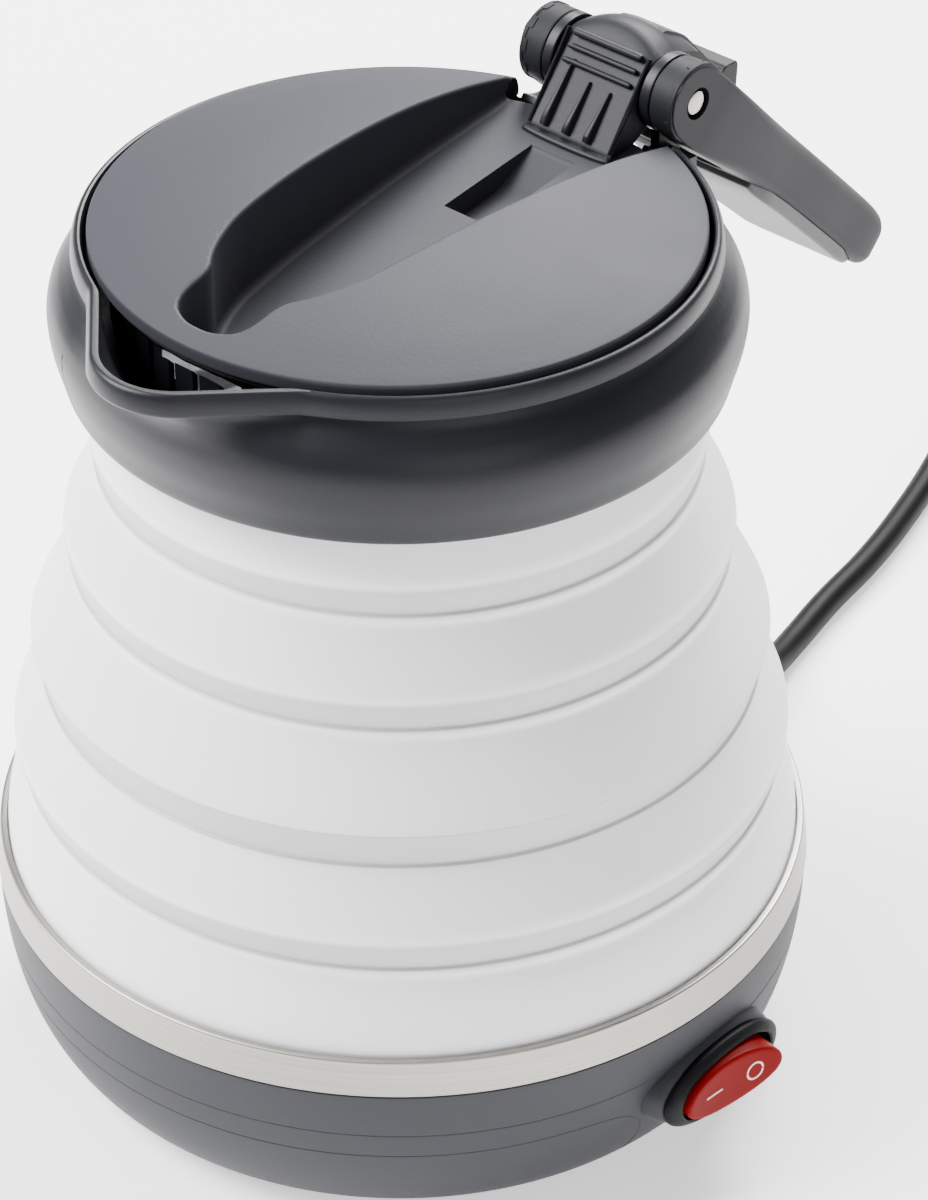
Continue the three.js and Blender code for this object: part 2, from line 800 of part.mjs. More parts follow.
function collarRing() {
  let collar = solidOf(collarLoft());
  const saddle = handleHalf + saddleGap;
  const saddleCut = acrossX(circleOutline(hingeY, hingeZ, saddleRadius, hiddenFacets), -saddle, saddle);
  collar = collar.subtract(solidOf(saddleCut));
  const neck = [
    [hingeY - earNeckFront, hingeZ], [hingeY - earNeckFront, hingeZ - earNeckDrop / 2],
    [hingeY - earNeckFront + hingeGap, hingeZ - earNeckDrop], [hingeY - pinRadius, hingeZ - earNeckDrop],
    [hingeY + earNeckBack, hingeZ - earNeckDrop * 0.7], [hingeY + knuckleRadius * 0.9, hingeZ - pinRadius],
    [hingeY, hingeZ],
  ];
  for (const side of [-1, 1]) {
    const [from, to] = side > 0 ? [earInner, earOuter] : [-earOuter, -earInner];
    collar = collar.add(solidOf(acrossX(circleOutline(hingeY, hingeZ, knuckleRadius, 28), from, to)));
    collar = collar.add(solidOf(acrossX(neck, from, to)));
  }
  const bore = acrossX(
    circleOutline(hingeY, hingeZ, pinRadius + pinGap), -earOuter - overrun, earOuter + overrun,
  );
  return geometryOf(collar.subtract(solidOf(bore)));
}

function hingePin() {
  const half = handleHalf - seatGap;
  return welded(acrossX(circleOutline(hingeY, hingeZ, pinRadius), -half, half));
}

// Height of the recess floor under the folded handle's outer face
const foldedSlope = Math.PI - (handleFold - handleSlope);
const recessDrop = handleRise / Math.cos(foldedSlope) + recessClear;
function recessFloor(y) {
  return hingeZ + (hingeY - y) * Math.tan(foldedSlope) - recessDrop;
}

// The recess as a solid, grown on its sides and floor
function recessSolid(grow, top) {
  const side = recessShares.map(([half, place]) => [half * recessHalf, place * recessNose]);
  const halves = [...side, [recessHalf, -recessRear]].map(([half, place], i) => [
    half + grow, -place - (i < recessShares.length / 2 ? grow : 0),
  ]);
  const plan = [...halves.map(([half, y]) => [half, y]), ...halves.map(([half, y]) => [-half, y]).reverse()];
  const floor = [
    ...scoopShares.map(([rise, place]) => {
      const start = scoopShares[0][1] * recessNose;
      return [-place * recessNose - grow, recessFloor(-start) + rise * scoopRise - grow];
    }).reverse(),
    [recessRear, recessFloor(recessRear) - grow],
    [recessRear, top],
    [-recessNose * scoopShares[scoopShares.length - 1][1] - grow, top],
  ];
  const bottom = recessFloor(-recessNose) - overrun * 2;
  return solidOf(upZ(plan, bottom, top)).intersect(solidOf(acrossX(floor, -recessHalf * 2, recessHalf * 2)));
}

// The pocket in the recess floor, with its ramp up to the lever, grown on its sides and floor
function pocketSolid(grow) {
  const rampFoot = pocketRear - pocketRamp;
  return solidOf(acrossX([
    [pocketFront - grow, recessFloor(pocketFront) + overrun],
    [pocketFront - grow, recessFloor(pocketFront) - pocketDepth - grow],
    [rampFoot, recessFloor(rampFoot) - pocketDepth - grow],
    [pocketRear + grow, recessFloor(pocketRear)],
    [pocketRear + grow, recessFloor(pocketRear) + overrun],
  ], -pocketHalf - grow, pocketHalf + grow));
}

function domePoints(drop) {
  return [
    [0, lidEdgeTop + lidDomeRise - drop],
    ...domeShares.map(([radius, rise]) => [radius * lidRadius, lidEdgeTop + rise * lidDomeRise - drop]),
  ];
}

const leverFoot = recessFloor(leverRootY);

function leverSolid() {
  const topZ = hingeZ + leverTopRise;
  const headY = hingeY - leverHeadInset;
  const headZ = topZ - leverCrown;
  const tabY = hingeY + leverTabReach;
  const tabZ = hingeZ - leverTabDrop;
  const shoulderY = hingeY + leverShoulderReach;
  const shoulderZ = hingeZ + knuckleRadius * 0.62;
  const outline = [
    [leverRootY, leverFoot - recessWall / 2],
    [leverRootY, leverFoot + edgeRound],
    [headY - edgeRound / 2, headZ - edgeRound],
    [headY + edgeRound, topZ - leverCrown / 2],
    [headY + leverCrownLength * 0.4, topZ],
    [headY + leverCrownLength * 0.75, topZ - leverCrown / 2],
    [headY + leverCrownLength, topZ - leverCrown * 1.7],
    [shoulderY, shoulderZ],
    [hingeY + knuckleRadius + edgeRound, hingeZ - leverWaistDrop],
    [hingeY + knuckleRadius * 0.5, hingeZ - knuckleRadius * 0.9],
    [hingeY, hingeZ - knuckleRadius],
    [hingeY - knuckleRadius * 0.6, hingeZ - knuckleRadius * 0.85],
    [leverRootY + leverRootRise, leverFoot + edgeRound],
    [leverRootY + leverRootRise, leverFoot - recessWall / 2],
  ];
  let lever = solidOf(acrossX(outline, -leverHalf, leverHalf));
  const tab = [
    [hingeY + pinRadius + edgeRound, topZ - leverCrown * 1.8],
    [headY + leverCrownLength, topZ - leverCrown * 1.8],
    [shoulderY, shoulderZ],
    [tabY - leverTabLip - edgeRound, tabZ - leverTabLipRise],
    [tabY - leverTabLip, tabZ],
    [tabY, tabZ],
    [tabY + edgeRound, tabZ - edgeRound],
    [tabY + edgeRound / 2, tabZ - leverTabThick],
    [tabY - leverTabLip * 2, tabZ - leverTabThick * 0.8],
    [hingeY + knuckleRadius + edgeRound, hingeZ - leverWaistDrop * 0.95],
    [hingeY + pinRadius + edgeRound, hingeZ - pinRadius],
  ];
  lever = lever.add(solidOf(acrossX(tab, -leverTabHalf, leverTabHalf)));
  // grip ribs across the head, and tapered fins up the front face
  const faceRise = headZ - leverFoot;
  const lean = (headY - leverRootY) / faceRise;
  for (let i = 0; i < gripRibCount; i += 1) {
    const z = headZ - edgeRound * 2 - i * gripRibPitch;
    const y = leverRootY + (z - leverFoot) * lean;
    const rib = [
      [y - gripRibDepth, z - gripRibHeight / 2], [y + gripRibDepth * 2, z - gripRibHeight],
      [y + gripRibDepth * 2, z + gripRibHeight], [y - gripRibDepth, z + gripRibHeight / 2],
    ];
    const half = leverHalf - edgeRound * 2;
    lever = lever.add(solidOf(acrossX(rib, -half, half)));
  }
  for (const [place, height] of finRibShares) {
    const x = place * leverHalf;
    const reach = height * faceRise;
    const inset = finRibHalf + finRibDepth;
    const rows = [[finRibHalf, 0, finRibDepth], [finRibHalf / 3, reach, finRibDepth / 3]];
    lever = lever.add(solidOf(skinned(rows.map(([half, rise, depth]) => [
      [x - half, -depth], [x + half, -depth], [x + half, inset], [x - half, inset],
    ].map(([across, back]) => new THREE.Vector3(
      across, leverRootY + rise * lean + back, leverFoot + edgeRound + rise,
    ))))));
  }
  return lever.subtract(solidOf(acrossX(
    circleOutline(hingeY, hingeZ, pinRadius + pinGap), -leverHalf - overrun, leverHalf + overrun,
  )));
}

function lidCover() {
  const inside = lidSkirtRadius - lidSkirtWall;
  const skirtBottom = lidEdgeBottom - lidSkirtDrop;
  const underDome = domePoints(lidWall).filter(([radius]) => radius < inside);
  const shell = solidOf(turned([
    [0, lidEdgeTop + lidDomeRise - lidWall],
    ...underDome.slice(1),
    [inside, lidEdgeTop - lidWall / 2],
    [inside, skirtBottom],
    [lidSkirtRadius, skirtBottom],
    [lidSkirtRadius, lidEdgeBottom],
    [lidRadius - edgeRound, lidEdgeBottom],
    [lidRadius, lidEdgeBottom + edgeRound],
    [lidRadius, lidEdgeTop - edgeRound],
    ...domePoints(0).reverse(),
  ]));
  const below = solidOf(turned([
    [0, lidEdgeTop - collarHeight],
    [lidRadius, lidEdgeTop - collarHeight],
    [lidRadius, lidEdgeTop - edgeRound],
    ...domePoints(edgeRound / 2).reverse(),
  ]));
  const top = hingeZ + leverTopRise;
  const lining = recessSolid(recessWall, top).add(pocketSolid(pocketWall)).intersect(below);
  const lid = shell.add(lining).subtract(recessSolid(0, top)).subtract(pocketSolid(0));
  const saddle = handleHalf + saddleGap * 2;
  const clear = acrossX(circleOutline(hingeY, hingeZ, saddleRadius - seatGap, 32), -saddle, saddle);
  return geometryOf(lid.subtract(solidOf(clear)).add(leverSolid()));
}

function lidStrainer() {
  const top = lidEdgeBottom - seatGap;
  const bottom = top - strainerDrop;
  let cup = solidOf(turned([
    [0, bottom], [strainerRadius - strainerWall, bottom], [strainerRadius, bottom + strainerWall],
    [strainerRadius, top], [strainerRadius - strainerWall, top],
    [strainerRadius - strainerWall, bottom + strainerWall], [0, bottom + strainerWall],
  ]));
  const count = Math.round(2 * Math.PI * strainerRadius / slotPitch);
  for (let i = 0; i < count; i += 2) {
    const angle = i * 2 * Math.PI / count;
    const reach = strainerRadius + overrun;
    const slot = upZ([
      [strainerRadius - strainerWall - overrun, -slotWidth / 2], [reach, -slotWidth / 2],
      [reach, slotWidth / 2], [strainerRadius - strainerWall - overrun, slotWidth / 2],
    ], bottom + slotBottomGap, top - slotTopGap);
    const twin = slot.clone();
    const pair = solidOf(aroundZ(slot, angle)).add(solidOf(aroundZ(twin, angle + 2 * Math.PI / count)));
    cup = cup.subtract(pair);
  }
  const around = recessSolid(recessWall + seatGap, hingeZ).add(pocketSolid(pocketWall + seatGap));
  return geometryOf(cup.subtract(around));
}

function lidSeal() {
  const top = lidEdgeBottom - seatGap;
  const inner = strainerRadius + seatGap;
  const ring = solidOf(turned([
    [inner, top - sealHeight], [sealRadius - edgeRound, top - sealHeight], [sealRadius, top - sealHeight / 2],
    [sealRadius - edgeRound, top], [inner, top],
  ]));
  const around = recessSolid(recessWall + seatGap, hingeZ + leverTopRise);
  return geometryOf(ring.subtract(around));
}

// A rounded rectangle across the handle at one place along it
function handleSection(along, half, rise, drop, round = sectionCorner) {
  const corner = Math.min(round, (rise + drop) * 0.42, half * 0.5);
  const points = [];
  for (const [sideX, sideZ, quarter] of [[1, -1, -1], [1, 1, 0], [-1, 1, 1], [-1, -1, 2]]) {
    const start = quarter * Math.PI / 2;
    for (let i = 0; i < 4; i += 1) {
      const angle = start + i / 3 * Math.PI / 2;
      const hubX = sideX * (half - corner);
      const hubZ = sideZ > 0 ? rise - corner : -drop + corner;
      points.push(new THREE.Vector3(hubX + corner * Math.cos(angle), along, hubZ + corner * Math.sin(angle)));
    }
  }
  return points;
}

// The handle's half-width, rise and drop at a share of its length
function handleSizeAt(share) {
  let row = 1;
  while (row < handleShares.length - 1 && handleShares[row][0] < share) row += 1;
  const [before, after] = [handleShares[row - 1], handleShares[row]];
  const mix = (share - before[0]) / (after[0] - before[0]);
  const at = (k) => before[k] + mix * (after[k] - before[k]);
  return [at(1) * handleHalf, at(2) * handleRise, at(3) * handleDrop];
}

// The inner cover: a crowned strip let into the face that the fingers hold
function coverLoft(margin, sink, crown) {
  const play = margin < coverMargin ? coverPlayShare : 0;
  const last = coverShares.length - 1;
  const shares = coverShares.map((share, i) => share + play * ((i === last) - (i === 0)));
  return skinned(shares.map((share) => {
    const [half, , drop] = handleSizeAt(share);
    return handleSection(share * handleLength, half - margin, sink - drop, drop + crown, coverEdge);
  }));
}

function handleFrame() {
  const rings = handleShares.map(([along, half, rise, drop]) => handleSection(
    along * handleLength, half * handleHalf, rise * handleRise, drop * handleDrop,
  ));
  let frame = solidOf(skinned(rings));
  const deep = handleRise + handleDrop;
  const fork = [
    [-earInner, -handleKnuckle - overrun], [earInner, -handleKnuckle - overrun],
    [earInner, forkLength - forkRound], [earInner - forkRound, forkLength],
    [-earInner + forkRound, forkLength], [-earInner, forkLength - forkRound],
  ];
  const root = [
    [-armInner, -handleKnuckle - overrun], [armInner, -handleKnuckle - overrun],
    [armInner, forkRootLength], [-armInner, forkRootLength],
  ];
  frame = frame.subtract(solidOf(upZ(fork, -deep, deep))).subtract(solidOf(upZ(root, -deep, deep)));
  const bore = acrossX(circleOutline(0, 0, pinRadius + pinGap), -handleHalf - overrun, handleHalf + overrun);
  frame = frame.subtract(solidOf(bore));
  const seat = coverLoft(coverMargin - seatGap, coverSink + seatGap, handleDrop);
  return geometryOf(frame.subtract(solidOf(seat)));
}

function switchHousing() {
  const flange = [switchFace - bezelThickness, switchFace - bezelThickness * 0.4, switchFace].map((x, i) => {
    const trim = i === 2 ? bezelThickness * 0.5 : 0;
    return ovalOutline(0, switchHeight, bezelHalfLength - trim, bezelHalfHeight - trim)
      .map(([y, z]) => new THREE.Vector3(x, y, z));
  });
  const back = switchFace - bezelThickness - switchBodyDepth;
  const body = acrossX(
    ovalOutline(0, switchHeight, switchBodyHalfLength, switchBodyHalfHeight),
    back, switchFace - bezelThickness / 2,
  );
  const pocket = acrossX(
    ovalOutline(0, switchHeight, rockerHalfLength + 2 * seatGap, rockerHalfHeight + seatGap),
    switchFace - switchPocketDepth, switchFace + overrun,
  );
  const pivot = upZ(
    circleOutline(switchFace - rockerPivotSink, 0, rockerStub + seatGap),
    switchHeight - switchBodyHalfHeight + seatGap, switchHeight + switchBodyHalfHeight - seatGap,
  );
  return geometryOf(
    solidOf(skinned(flange)).add(solidOf(body)).subtract(solidOf(pocket)).subtract(solidOf(pivot)),
  );
}

// The rocker, about its pivot at the origin, with a dished face
function switchRocker() {
  let rocker = solidOf(acrossX(
    ovalOutline(0, 0, rockerHalfLength, rockerHalfHeight), -rockerSink + rockerPivotSink,
    rockerRise + rockerPivotSink,
  ));
  const face = rockerRise + rockerPivotSink;
  const dishRadius = (rockerHalfLength ** 2 + rockerDish ** 2) / (2 * rockerDish);
  const dish = upZ(
    circleOutline(face - rockerDish + dishRadius, 0, dishRadius, 64),
    -rockerHalfHeight * 2, rockerHalfHeight * 2,
  );
  rocker = rocker.subtract(solidOf(dish));
  const stub = switchBodyHalfHeight - 2 * seatGap;
  return geometryOf(rocker.add(solidOf(upZ(circleOutline(0, 0, rockerStub), -stub, stub))));
}

// Ribbed boot through the wall at the rear, along +Y
function strainRelief() {
  const flangeEnd = reliefStand + reliefFlangeLength;
  const profile = [[0, -reliefInside], [reliefNeck, -reliefInside], [reliefNeck, reliefStand],
    [reliefFlange, reliefStand], [reliefFlange, flangeEnd], [reliefNeck, flangeEnd]];
  const pitch = (reliefLength - flangeEnd) / (reliefRibCount + 0.5);
  for (let i = 0; i < reliefRibCount; i += 1) {
    const at = flangeEnd + pitch * (i + 0.5);
    const radius = reliefNeck + (reliefTailRadius - reliefNeck) * (i + 0.5) / reliefRibCount;
    profile.push([radius, at], [radius - reliefGroove, at + pitch / 5]);
    profile.push([radius - reliefGroove, at + pitch * 2 / 5], [radius, at + pitch * 3 / 5]);
  }
  profile.push([reliefTailRadius, reliefLength], [0, reliefLength]);
  const boot = turned(profile, smallFacets);
  boot.rotateX(-Math.PI / 2);
  boot.translate(0, reliefFace, reliefHeight);
  return boot;
}

const cordLow = cordRadius + cordFloorGap;
const cordStart = reliefFace + reliefLength + seatGap;
const coilCentre = { x: coilAside, y: cordStart + coilAway };
const coilEntry = { x: coilCentre.x - coilRadius, y: coilCentre.y - coilLead };
const plugRear = { x: plugAside, y: coilCentre.y - plugBack };

// The cord's route from the strain relief to the coil: rows of share of the way aside to the coil's entry,
// share of the way back to it, and height share between the floor and the strain relief
const cordRouteShares = [
  [0, 0, 1], [0.004, 0.033, 1], [0.046, 0.095, 0.68], [0.108, 0.159, 0.2], [0.175, 0.225, 0],
  [0.246, 0.315, 0], [0.304, 0.412, 0], [0.398, 0.515, 0], [0.531, 0.628, 0], [0.68, 0.73, 0],
  [0.825, 0.82, 0], [0.94, 0.895, 0], [0.996, 0.96, 0],
];
const cordRoute = cordRouteShares.map(([aside, back, high]) => [
  aside * coilEntry.x,
  cordStart + back * (coilEntry.y - cordStart),
  cordLow + high * (reliefHeight - cordLow),
]);
cordRoute.push([coilEntry.x, coilEntry.y - seatGap, cordLow]);

function cordRun() {
  const points = cordRoute.map(([x, y, z]) => new THREE.Vector3(x, y, z));
  const curve = new THREE.CatmullRomCurve3(points, false, 'centripetal');
  return tubeAlong(curve, cordRadius, cordSides, cordSteps);
}

// The coil's centre line: in on the lower layer, up half a turn, out on the upper layer, then the tail
function coilPoints() {
  const turns = 2 * coilLayerTurns + coilClimbTurns;
  const points = [];
  for (let i = 0; i <= 3; i += 1) {
    points.push([coilEntry.x, coilEntry.y + coilLead * i / 4, cordLow]);
  }
  const steps = Math.round(turns * coilStepsPerTurn);
  for (let i = 0; i <= steps; i += 1) {
    const turn = i / coilStepsPerTurn;
    const fromMiddle = Math.abs(turn - turns / 2);
    const radius = coilRadius - coilPitch * (turns / 2 - fromMiddle);
    const climb = THREE.MathUtils.smoothstep(turn, coilLayerTurns, coilLayerTurns + coilClimbTurns);
    const angle = Math.PI - turn * 2 * Math.PI;
    points.push([
      coilCentre.x + radius * Math.cos(angle),
      coilCentre.y + radius * Math.sin(angle),
      cordLow + climb * coilLift,
    ]);
  }
  const [endX, endY, endZ] = points[points.length - 1];
  const [toY, toZ] = [plugRear.y + seatGap, plugHalfHeight + cordFloorGap];
  for (let i = 1; i <= 6; i += 1) {
    const along = i / 6;
    const ease = THREE.MathUtils.smoothstep(along, 0, 0.8);
    points.push([
      endX + (plugRear.x - endX) * ease, endY + (toY - endY) * along, endZ + (toZ - endZ) * ease,
    ]);
  }
  return points.map(([x, y, z]) => new THREE.Vector3(x, y, z));
}

function cordCoil() {
  const points = coilPoints();
  const curve = new THREE.CatmullRomCurve3(points, false, 'centripetal');
  const samples = curve.getSpacedPoints(points.length * 4);
  const step = curve.getLength() / (samples.length - 1);
  const apart = Math.ceil(coilRadius / step);
  let least = Infinity;
  for (let i = 0; i < samples.length; i += 1) {
    for (let j = i + apart; j < samples.length; j += 1) {
      least = Math.min(least, samples[i].distanceTo(samples[j]) - 2 * cordRadius);
    }
  }
  console.log(`coil: least gap to itself ${least.toFixed(2)} mm, length ${curve.getLength().toFixed(0)} mm`);
  return tubeAlong(curve, cordRadius, coilSides, points.length - 1);
}

const plugHeight = plugHalfHeight + cordFloorGap;

function plugBody() {
  const rings = plugShares.map(([along, wide, high]) => {
    const halfWidth = plugRearRadius + wide * (plugHalfWidth - plugRearRadius);
    const halfHeight = plugRearRadius + high * (plugHalfHeight - plugRearRadius);
    return ovalOutline(plugRear.x, plugHeight, halfWidth, halfHeight, 20)
      .map(([x, z]) => new THREE.Vector3(x, plugRear.y - along * plugLength, z));
  });
  let body = solidOf(skinned(rings));
  for (const side of [-1, 1]) {
    const hole = turned([[0, 0], [plugPinRadius + seatGap, 0],
      [plugPinRadius + seatGap, plugPinSink + overrun], [0, plugPinSink + overrun]], smallFacets);
    hole.rotateX(-Math.PI / 2);
    hole.translate(plugRear.x + side * plugSpacing / 2, plugRear.y - plugLength - overrun, plugHeight);
    body = body.subtract(solidOf(hole));
  }
  return geometryOf(body);
}

function plugPin(side) {
  const pin = turned([[0, 0], [plugPinRadius * 0.6, 0], [plugPinRadius, plugPinRadius * 0.5],
    [plugPinRadius, plugPinLength + plugPinSink - seatGap], [0, plugPinLength + plugPinSink - seatGap]],
  smallFacets);
  pin.rotateX(-Math.PI / 2);
  pin.translate(plugRear.x + side * plugSpacing / 2, plugRear.y - plugLength - plugPinLength, plugHeight);
  return pin;
}

// Base
addPiece(kettle, 'base_shell', baseShell(), 'shell');
addPiece(kettle, 'base_plate', basePlate(), 'shell');
standAngles.forEach((angle, i) => addPiece(kettle, `foot_pad_${i + 1}`, footPad(angle), 'rubber'));
screwAngles.forEach((angle, i) => addPiece(kettle, `base_screw_${i + 1}`, baseScrew(angle), 'steel'));
addPiece(kettle, 'steel_band', steelBand(), 'steel');
addPiece(kettle, 'heater_pan', heaterPan(), 'steel');
addPiece(kettle, 'heating_element', heatingElement(), 'steel');
addPiece(kettle, 'thermal_cutout', cutOut(), 'black');
addPiece(kettle, 'switch_housing', switchHousing(), 'black');
addPiece(kettle, 'strain_relief', strainRelief(), 'rubber');
addPiece(kettle, 'cord_run', cordRun(), 'rubber');
addPiece(kettle, 'cord_coil', cordCoil(), 'rubber');
addPiece(kettle, 'plug_body', plugBody(), 'rubber');
addPiece(kettle, 'plug_pin_left', plugPin(-1), 'steel');
addPiece(kettle, 'plug_pin_right', plugPin(1), 'steel');

// Switch rocker, set on its pivot and tilted
const rockerGroup = new THREE.Group();
rockerGroup.position.set(switchFace - rockerPivotSink, 0, switchHeight);
rockerGroup.rotation.z = -rockerTilt;
kettle.add(rockerGroup);
addPiece(rockerGroup, 'switch_rocker', switchRocker(), 'red');

// Bellows
addPiece(kettle, 'bellows_lower', bellowsLower(), 'silicone');
addPiece(kettle, 'bellows_ring', bellowsRing(), 'silicone');
addPiece(kettle, 'bellows_upper', bellowsUpper(), 'silicone');

// Collar
addPiece(kettle, 'collar_ring', collarRing(), 'collar');
addPiece(kettle, 'bellows_clamp', clampRing(), 'collar');
addPiece(kettle, 'hinge_pin', hingePin(), 'steel');

// Lid
addPiece(kettle, 'lid_cover', lidCover(), 'lid');
addPiece(kettle, 'lid_strainer', lidStrainer(), 'collar');
addPiece(kettle, 'lid_seal', lidSeal(), 'rubber');

// Handle, hung on the pin at its slope
const handleGroup = new THREE.Group();
handleGroup.position.set(0, hingeY, hingeZ);
handleGroup.rotation.x = -handleSlope;
kettle.add(handleGroup);
addPiece(handleGroup, 'handle_frame', handleFrame(), 'handle');
addPiece(handleGroup, 'handle_cover', coverLoft(coverMargin, coverSink, coverCrown), 'cover');

export default kettle;
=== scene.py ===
"""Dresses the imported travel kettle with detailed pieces, finishes, the floor, the lights and the camera."""

import json
import math

import bpy
import numpy as np
from mathutils import Matrix, Vector


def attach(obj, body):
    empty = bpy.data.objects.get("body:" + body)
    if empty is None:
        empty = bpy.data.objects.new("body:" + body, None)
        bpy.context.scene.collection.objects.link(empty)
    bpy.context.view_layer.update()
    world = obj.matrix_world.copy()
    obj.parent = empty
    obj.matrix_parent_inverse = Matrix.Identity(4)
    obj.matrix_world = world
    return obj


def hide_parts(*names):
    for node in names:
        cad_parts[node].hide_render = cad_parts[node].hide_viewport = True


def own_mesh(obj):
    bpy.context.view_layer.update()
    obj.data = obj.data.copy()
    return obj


bl_info = {
    "name": "Folding travel kettle",
    "version": (1, 0, 0),
    "blender": (4, 5, 0),
    "location": "3D View > Sidebar > Kettle",
    "description": "Detailed pieces and finishes of a travel kettle with a folding silicone body",
    "category": "Object",
}

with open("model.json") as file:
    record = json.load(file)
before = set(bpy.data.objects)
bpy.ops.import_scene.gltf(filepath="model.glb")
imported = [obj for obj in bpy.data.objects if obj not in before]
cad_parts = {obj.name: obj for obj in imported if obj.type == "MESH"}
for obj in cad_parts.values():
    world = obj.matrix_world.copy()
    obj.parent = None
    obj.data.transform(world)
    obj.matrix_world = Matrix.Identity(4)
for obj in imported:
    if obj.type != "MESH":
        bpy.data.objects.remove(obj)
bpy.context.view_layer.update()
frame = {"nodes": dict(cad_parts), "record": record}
MM = 0.001
WELD = 2e-6


def colour_setting(name, description, default):
    """A linear colour that the panel shows."""
    return bpy.props.FloatVectorProperty(
        name=name, description=description, subtype="COLOR", size=3, min=0, max=1, default=default
    )


def length_setting(name, description, default):
    """A length in metres that the panel shows."""
    return bpy.props.FloatProperty(
        name=name, description=description, subtype="DISTANCE", unit="LENGTH", min=0, precision=5,
        default=default,
    )


class KettleColours(bpy.types.PropertyGroup):
    """Base colours of the kettle's finishes."""

    base: colour_setting("Base plastic", "Grey plastic of the bowl under the band", (0.027, 0.0275, 0.033))
    collar: colour_setting("Collar plastic", "Dark grey of the collar and the spout", (0.0058, 0.0062, 0.009))
    lid: colour_setting("Lid plastic", "Grey plastic of the lid", (0.025, 0.0255, 0.0325))
    # Painted shade: a darker copy of the lid's grey plastic, for the thumb lever.
    lever: colour_setting("Lever plastic", "Lid grey darkened by painted shade on the thumb lever", (0.0072, 0.0076, 0.0102))
    handle: colour_setting("Handle plastic", "Dark grey plastic of the handle", (0.0066, 0.0069, 0.009))
    cover: colour_setting("Handle inlay", "Lighter cover on the handle's inner side", (0.035, 0.035, 0.039))
    silicone: colour_setting("Silicone", "White silicone of the folding body", (0.8, 0.805, 0.83))
    # Painted shade: this tint darkens the strips between the bellows' bands, which face down, away from the
    # light.
    fold: colour_setting("Silicone folds", "Painted shade on the strips between the bellows' bands", (0.6, 0.6, 0.61))
    steel: colour_setting("Steel", "Brushed stainless steel", (0.34, 0.32, 0.29))
    rocker: colour_setting("Rocker", "Red plastic of the rocker switch", (0.15, 0.0, 0.0005))
    black: colour_setting("Black plastic", "Switch housing, cut-out and plug", (0.005, 0.005, 0.006))
    rubber: colour_setting("Rubber", "Mains cord and feet", (0.003, 0.003, 0.0035))
    floor: colour_setting("Floor", "Pale studio floor", (0.93, 0.93, 0.93))


class KettleSizes(bpy.types.PropertyGroup):
    """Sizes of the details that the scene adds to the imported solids."""

    edge_round: length_setting("Edge rounding", "Radius of the moulded edges", 0.0003)
    crease_round: length_setting("Crease rounding", "Radius of the bellows' outer creases", 0.0026)
    cord_diameter: length_setting("Cord diameter", "Diameter of the round mains cord", 0.006)
    lens: bpy.props.FloatProperty(
        name="Lens", description="Focal length on a 36 mm frame", min=20, max=300, default=134.2
    )


def colours():
    """The scene's colour settings."""
    return bpy.context.scene.kettle_colours


def sizes():
    """The scene's size settings."""
    return bpy.context.scene.kettle_sizes


# Objects and edit mode


def pick(*objects):
    """Leaves object mode with only these objects selected, the last one active."""
    if bpy.context.object is not None and bpy.context.object.mode != "OBJECT":
        bpy.ops.object.mode_set(mode="OBJECT")
    bpy.ops.object.select_all(action="DESELECT")
    for obj in objects:
        obj.select_set(True)
        bpy.context.view_layer.objects.active = obj


def copy_of(node, name):
    """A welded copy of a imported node, as the start of a detailed piece."""
    pick(frame["nodes"][node])
    bpy.ops.object.duplicate()
    piece = bpy.context.object
    piece.name = piece.data.name = name
    piece.parent = None
    for key in [k for k in piece.keys() if k.startswith("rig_")]:
        del piece[key]
    piece.data.materials.clear()
    bpy.ops.object.mode_set(mode="EDIT")
    bpy.ops.mesh.select_all(action="SELECT")
    bpy.ops.mesh.remove_doubles(threshold=WELD)
    bpy.ops.mesh.customdata_custom_splitnormals_clear()
    bpy.ops.mesh.dissolve_limited(angle_limit=math.radians(0.3))
    bpy.ops.object.mode_set(mode="OBJECT")
    return piece


def places_of(piece):
    """The places of a piece's vertices as rows of (x, y, z), in metres."""
    places = np.empty(len(piece.data.vertices) * 3, dtype=np.float32)
    piece.data.vertices.foreach_get("co", places)
    return places.reshape(-1, 3)


# Materials

SOCKETS = {"Vector": "NodeSocketVector", "Normal": "NodeSocketVector", "Color": "NodeSocketColor"}


def node_of(tree, kind, preset=(), **values):
    """A new shader node with its settings, and presets of its inputs by name or number."""
    node = tree.nodes.new("ShaderNode" + kind)
    for key, value in values.items():
        if key in node.inputs:
            node.inputs[key].default_value = value
        else:
            setattr(node, key, value)
    for key, value in dict(preset).items():
        node.inputs[key].default_value = value
    return node


def wire(tree, *wires):
    """Links sockets: (node, output, node, input)."""
    for source, output, target, given in wires:
        tree.links.new(source.outputs[output], target.inputs[given])


def group_of(name, inputs, outputs):
    """An empty shader group with named sockets; inputs hold their defaults."""
    tree = bpy.data.node_groups.new(name, "ShaderNodeTree")
    for label, default in inputs.items():
        kind = SOCKETS.get(label, "NodeSocketFloat")
        socket = tree.interface.new_socket(label, in_out="INPUT", socket_type=kind)
        if default is not None:
            socket.default_value = default
    for label in outputs:
        kind = SOCKETS.get(label, "NodeSocketFloat")
        tree.interface.new_socket(label, in_out="OUTPUT", socket_type=kind)
    return tree, tree.nodes.new("NodeGroupInput"), tree.nodes.new("NodeGroupOutput")


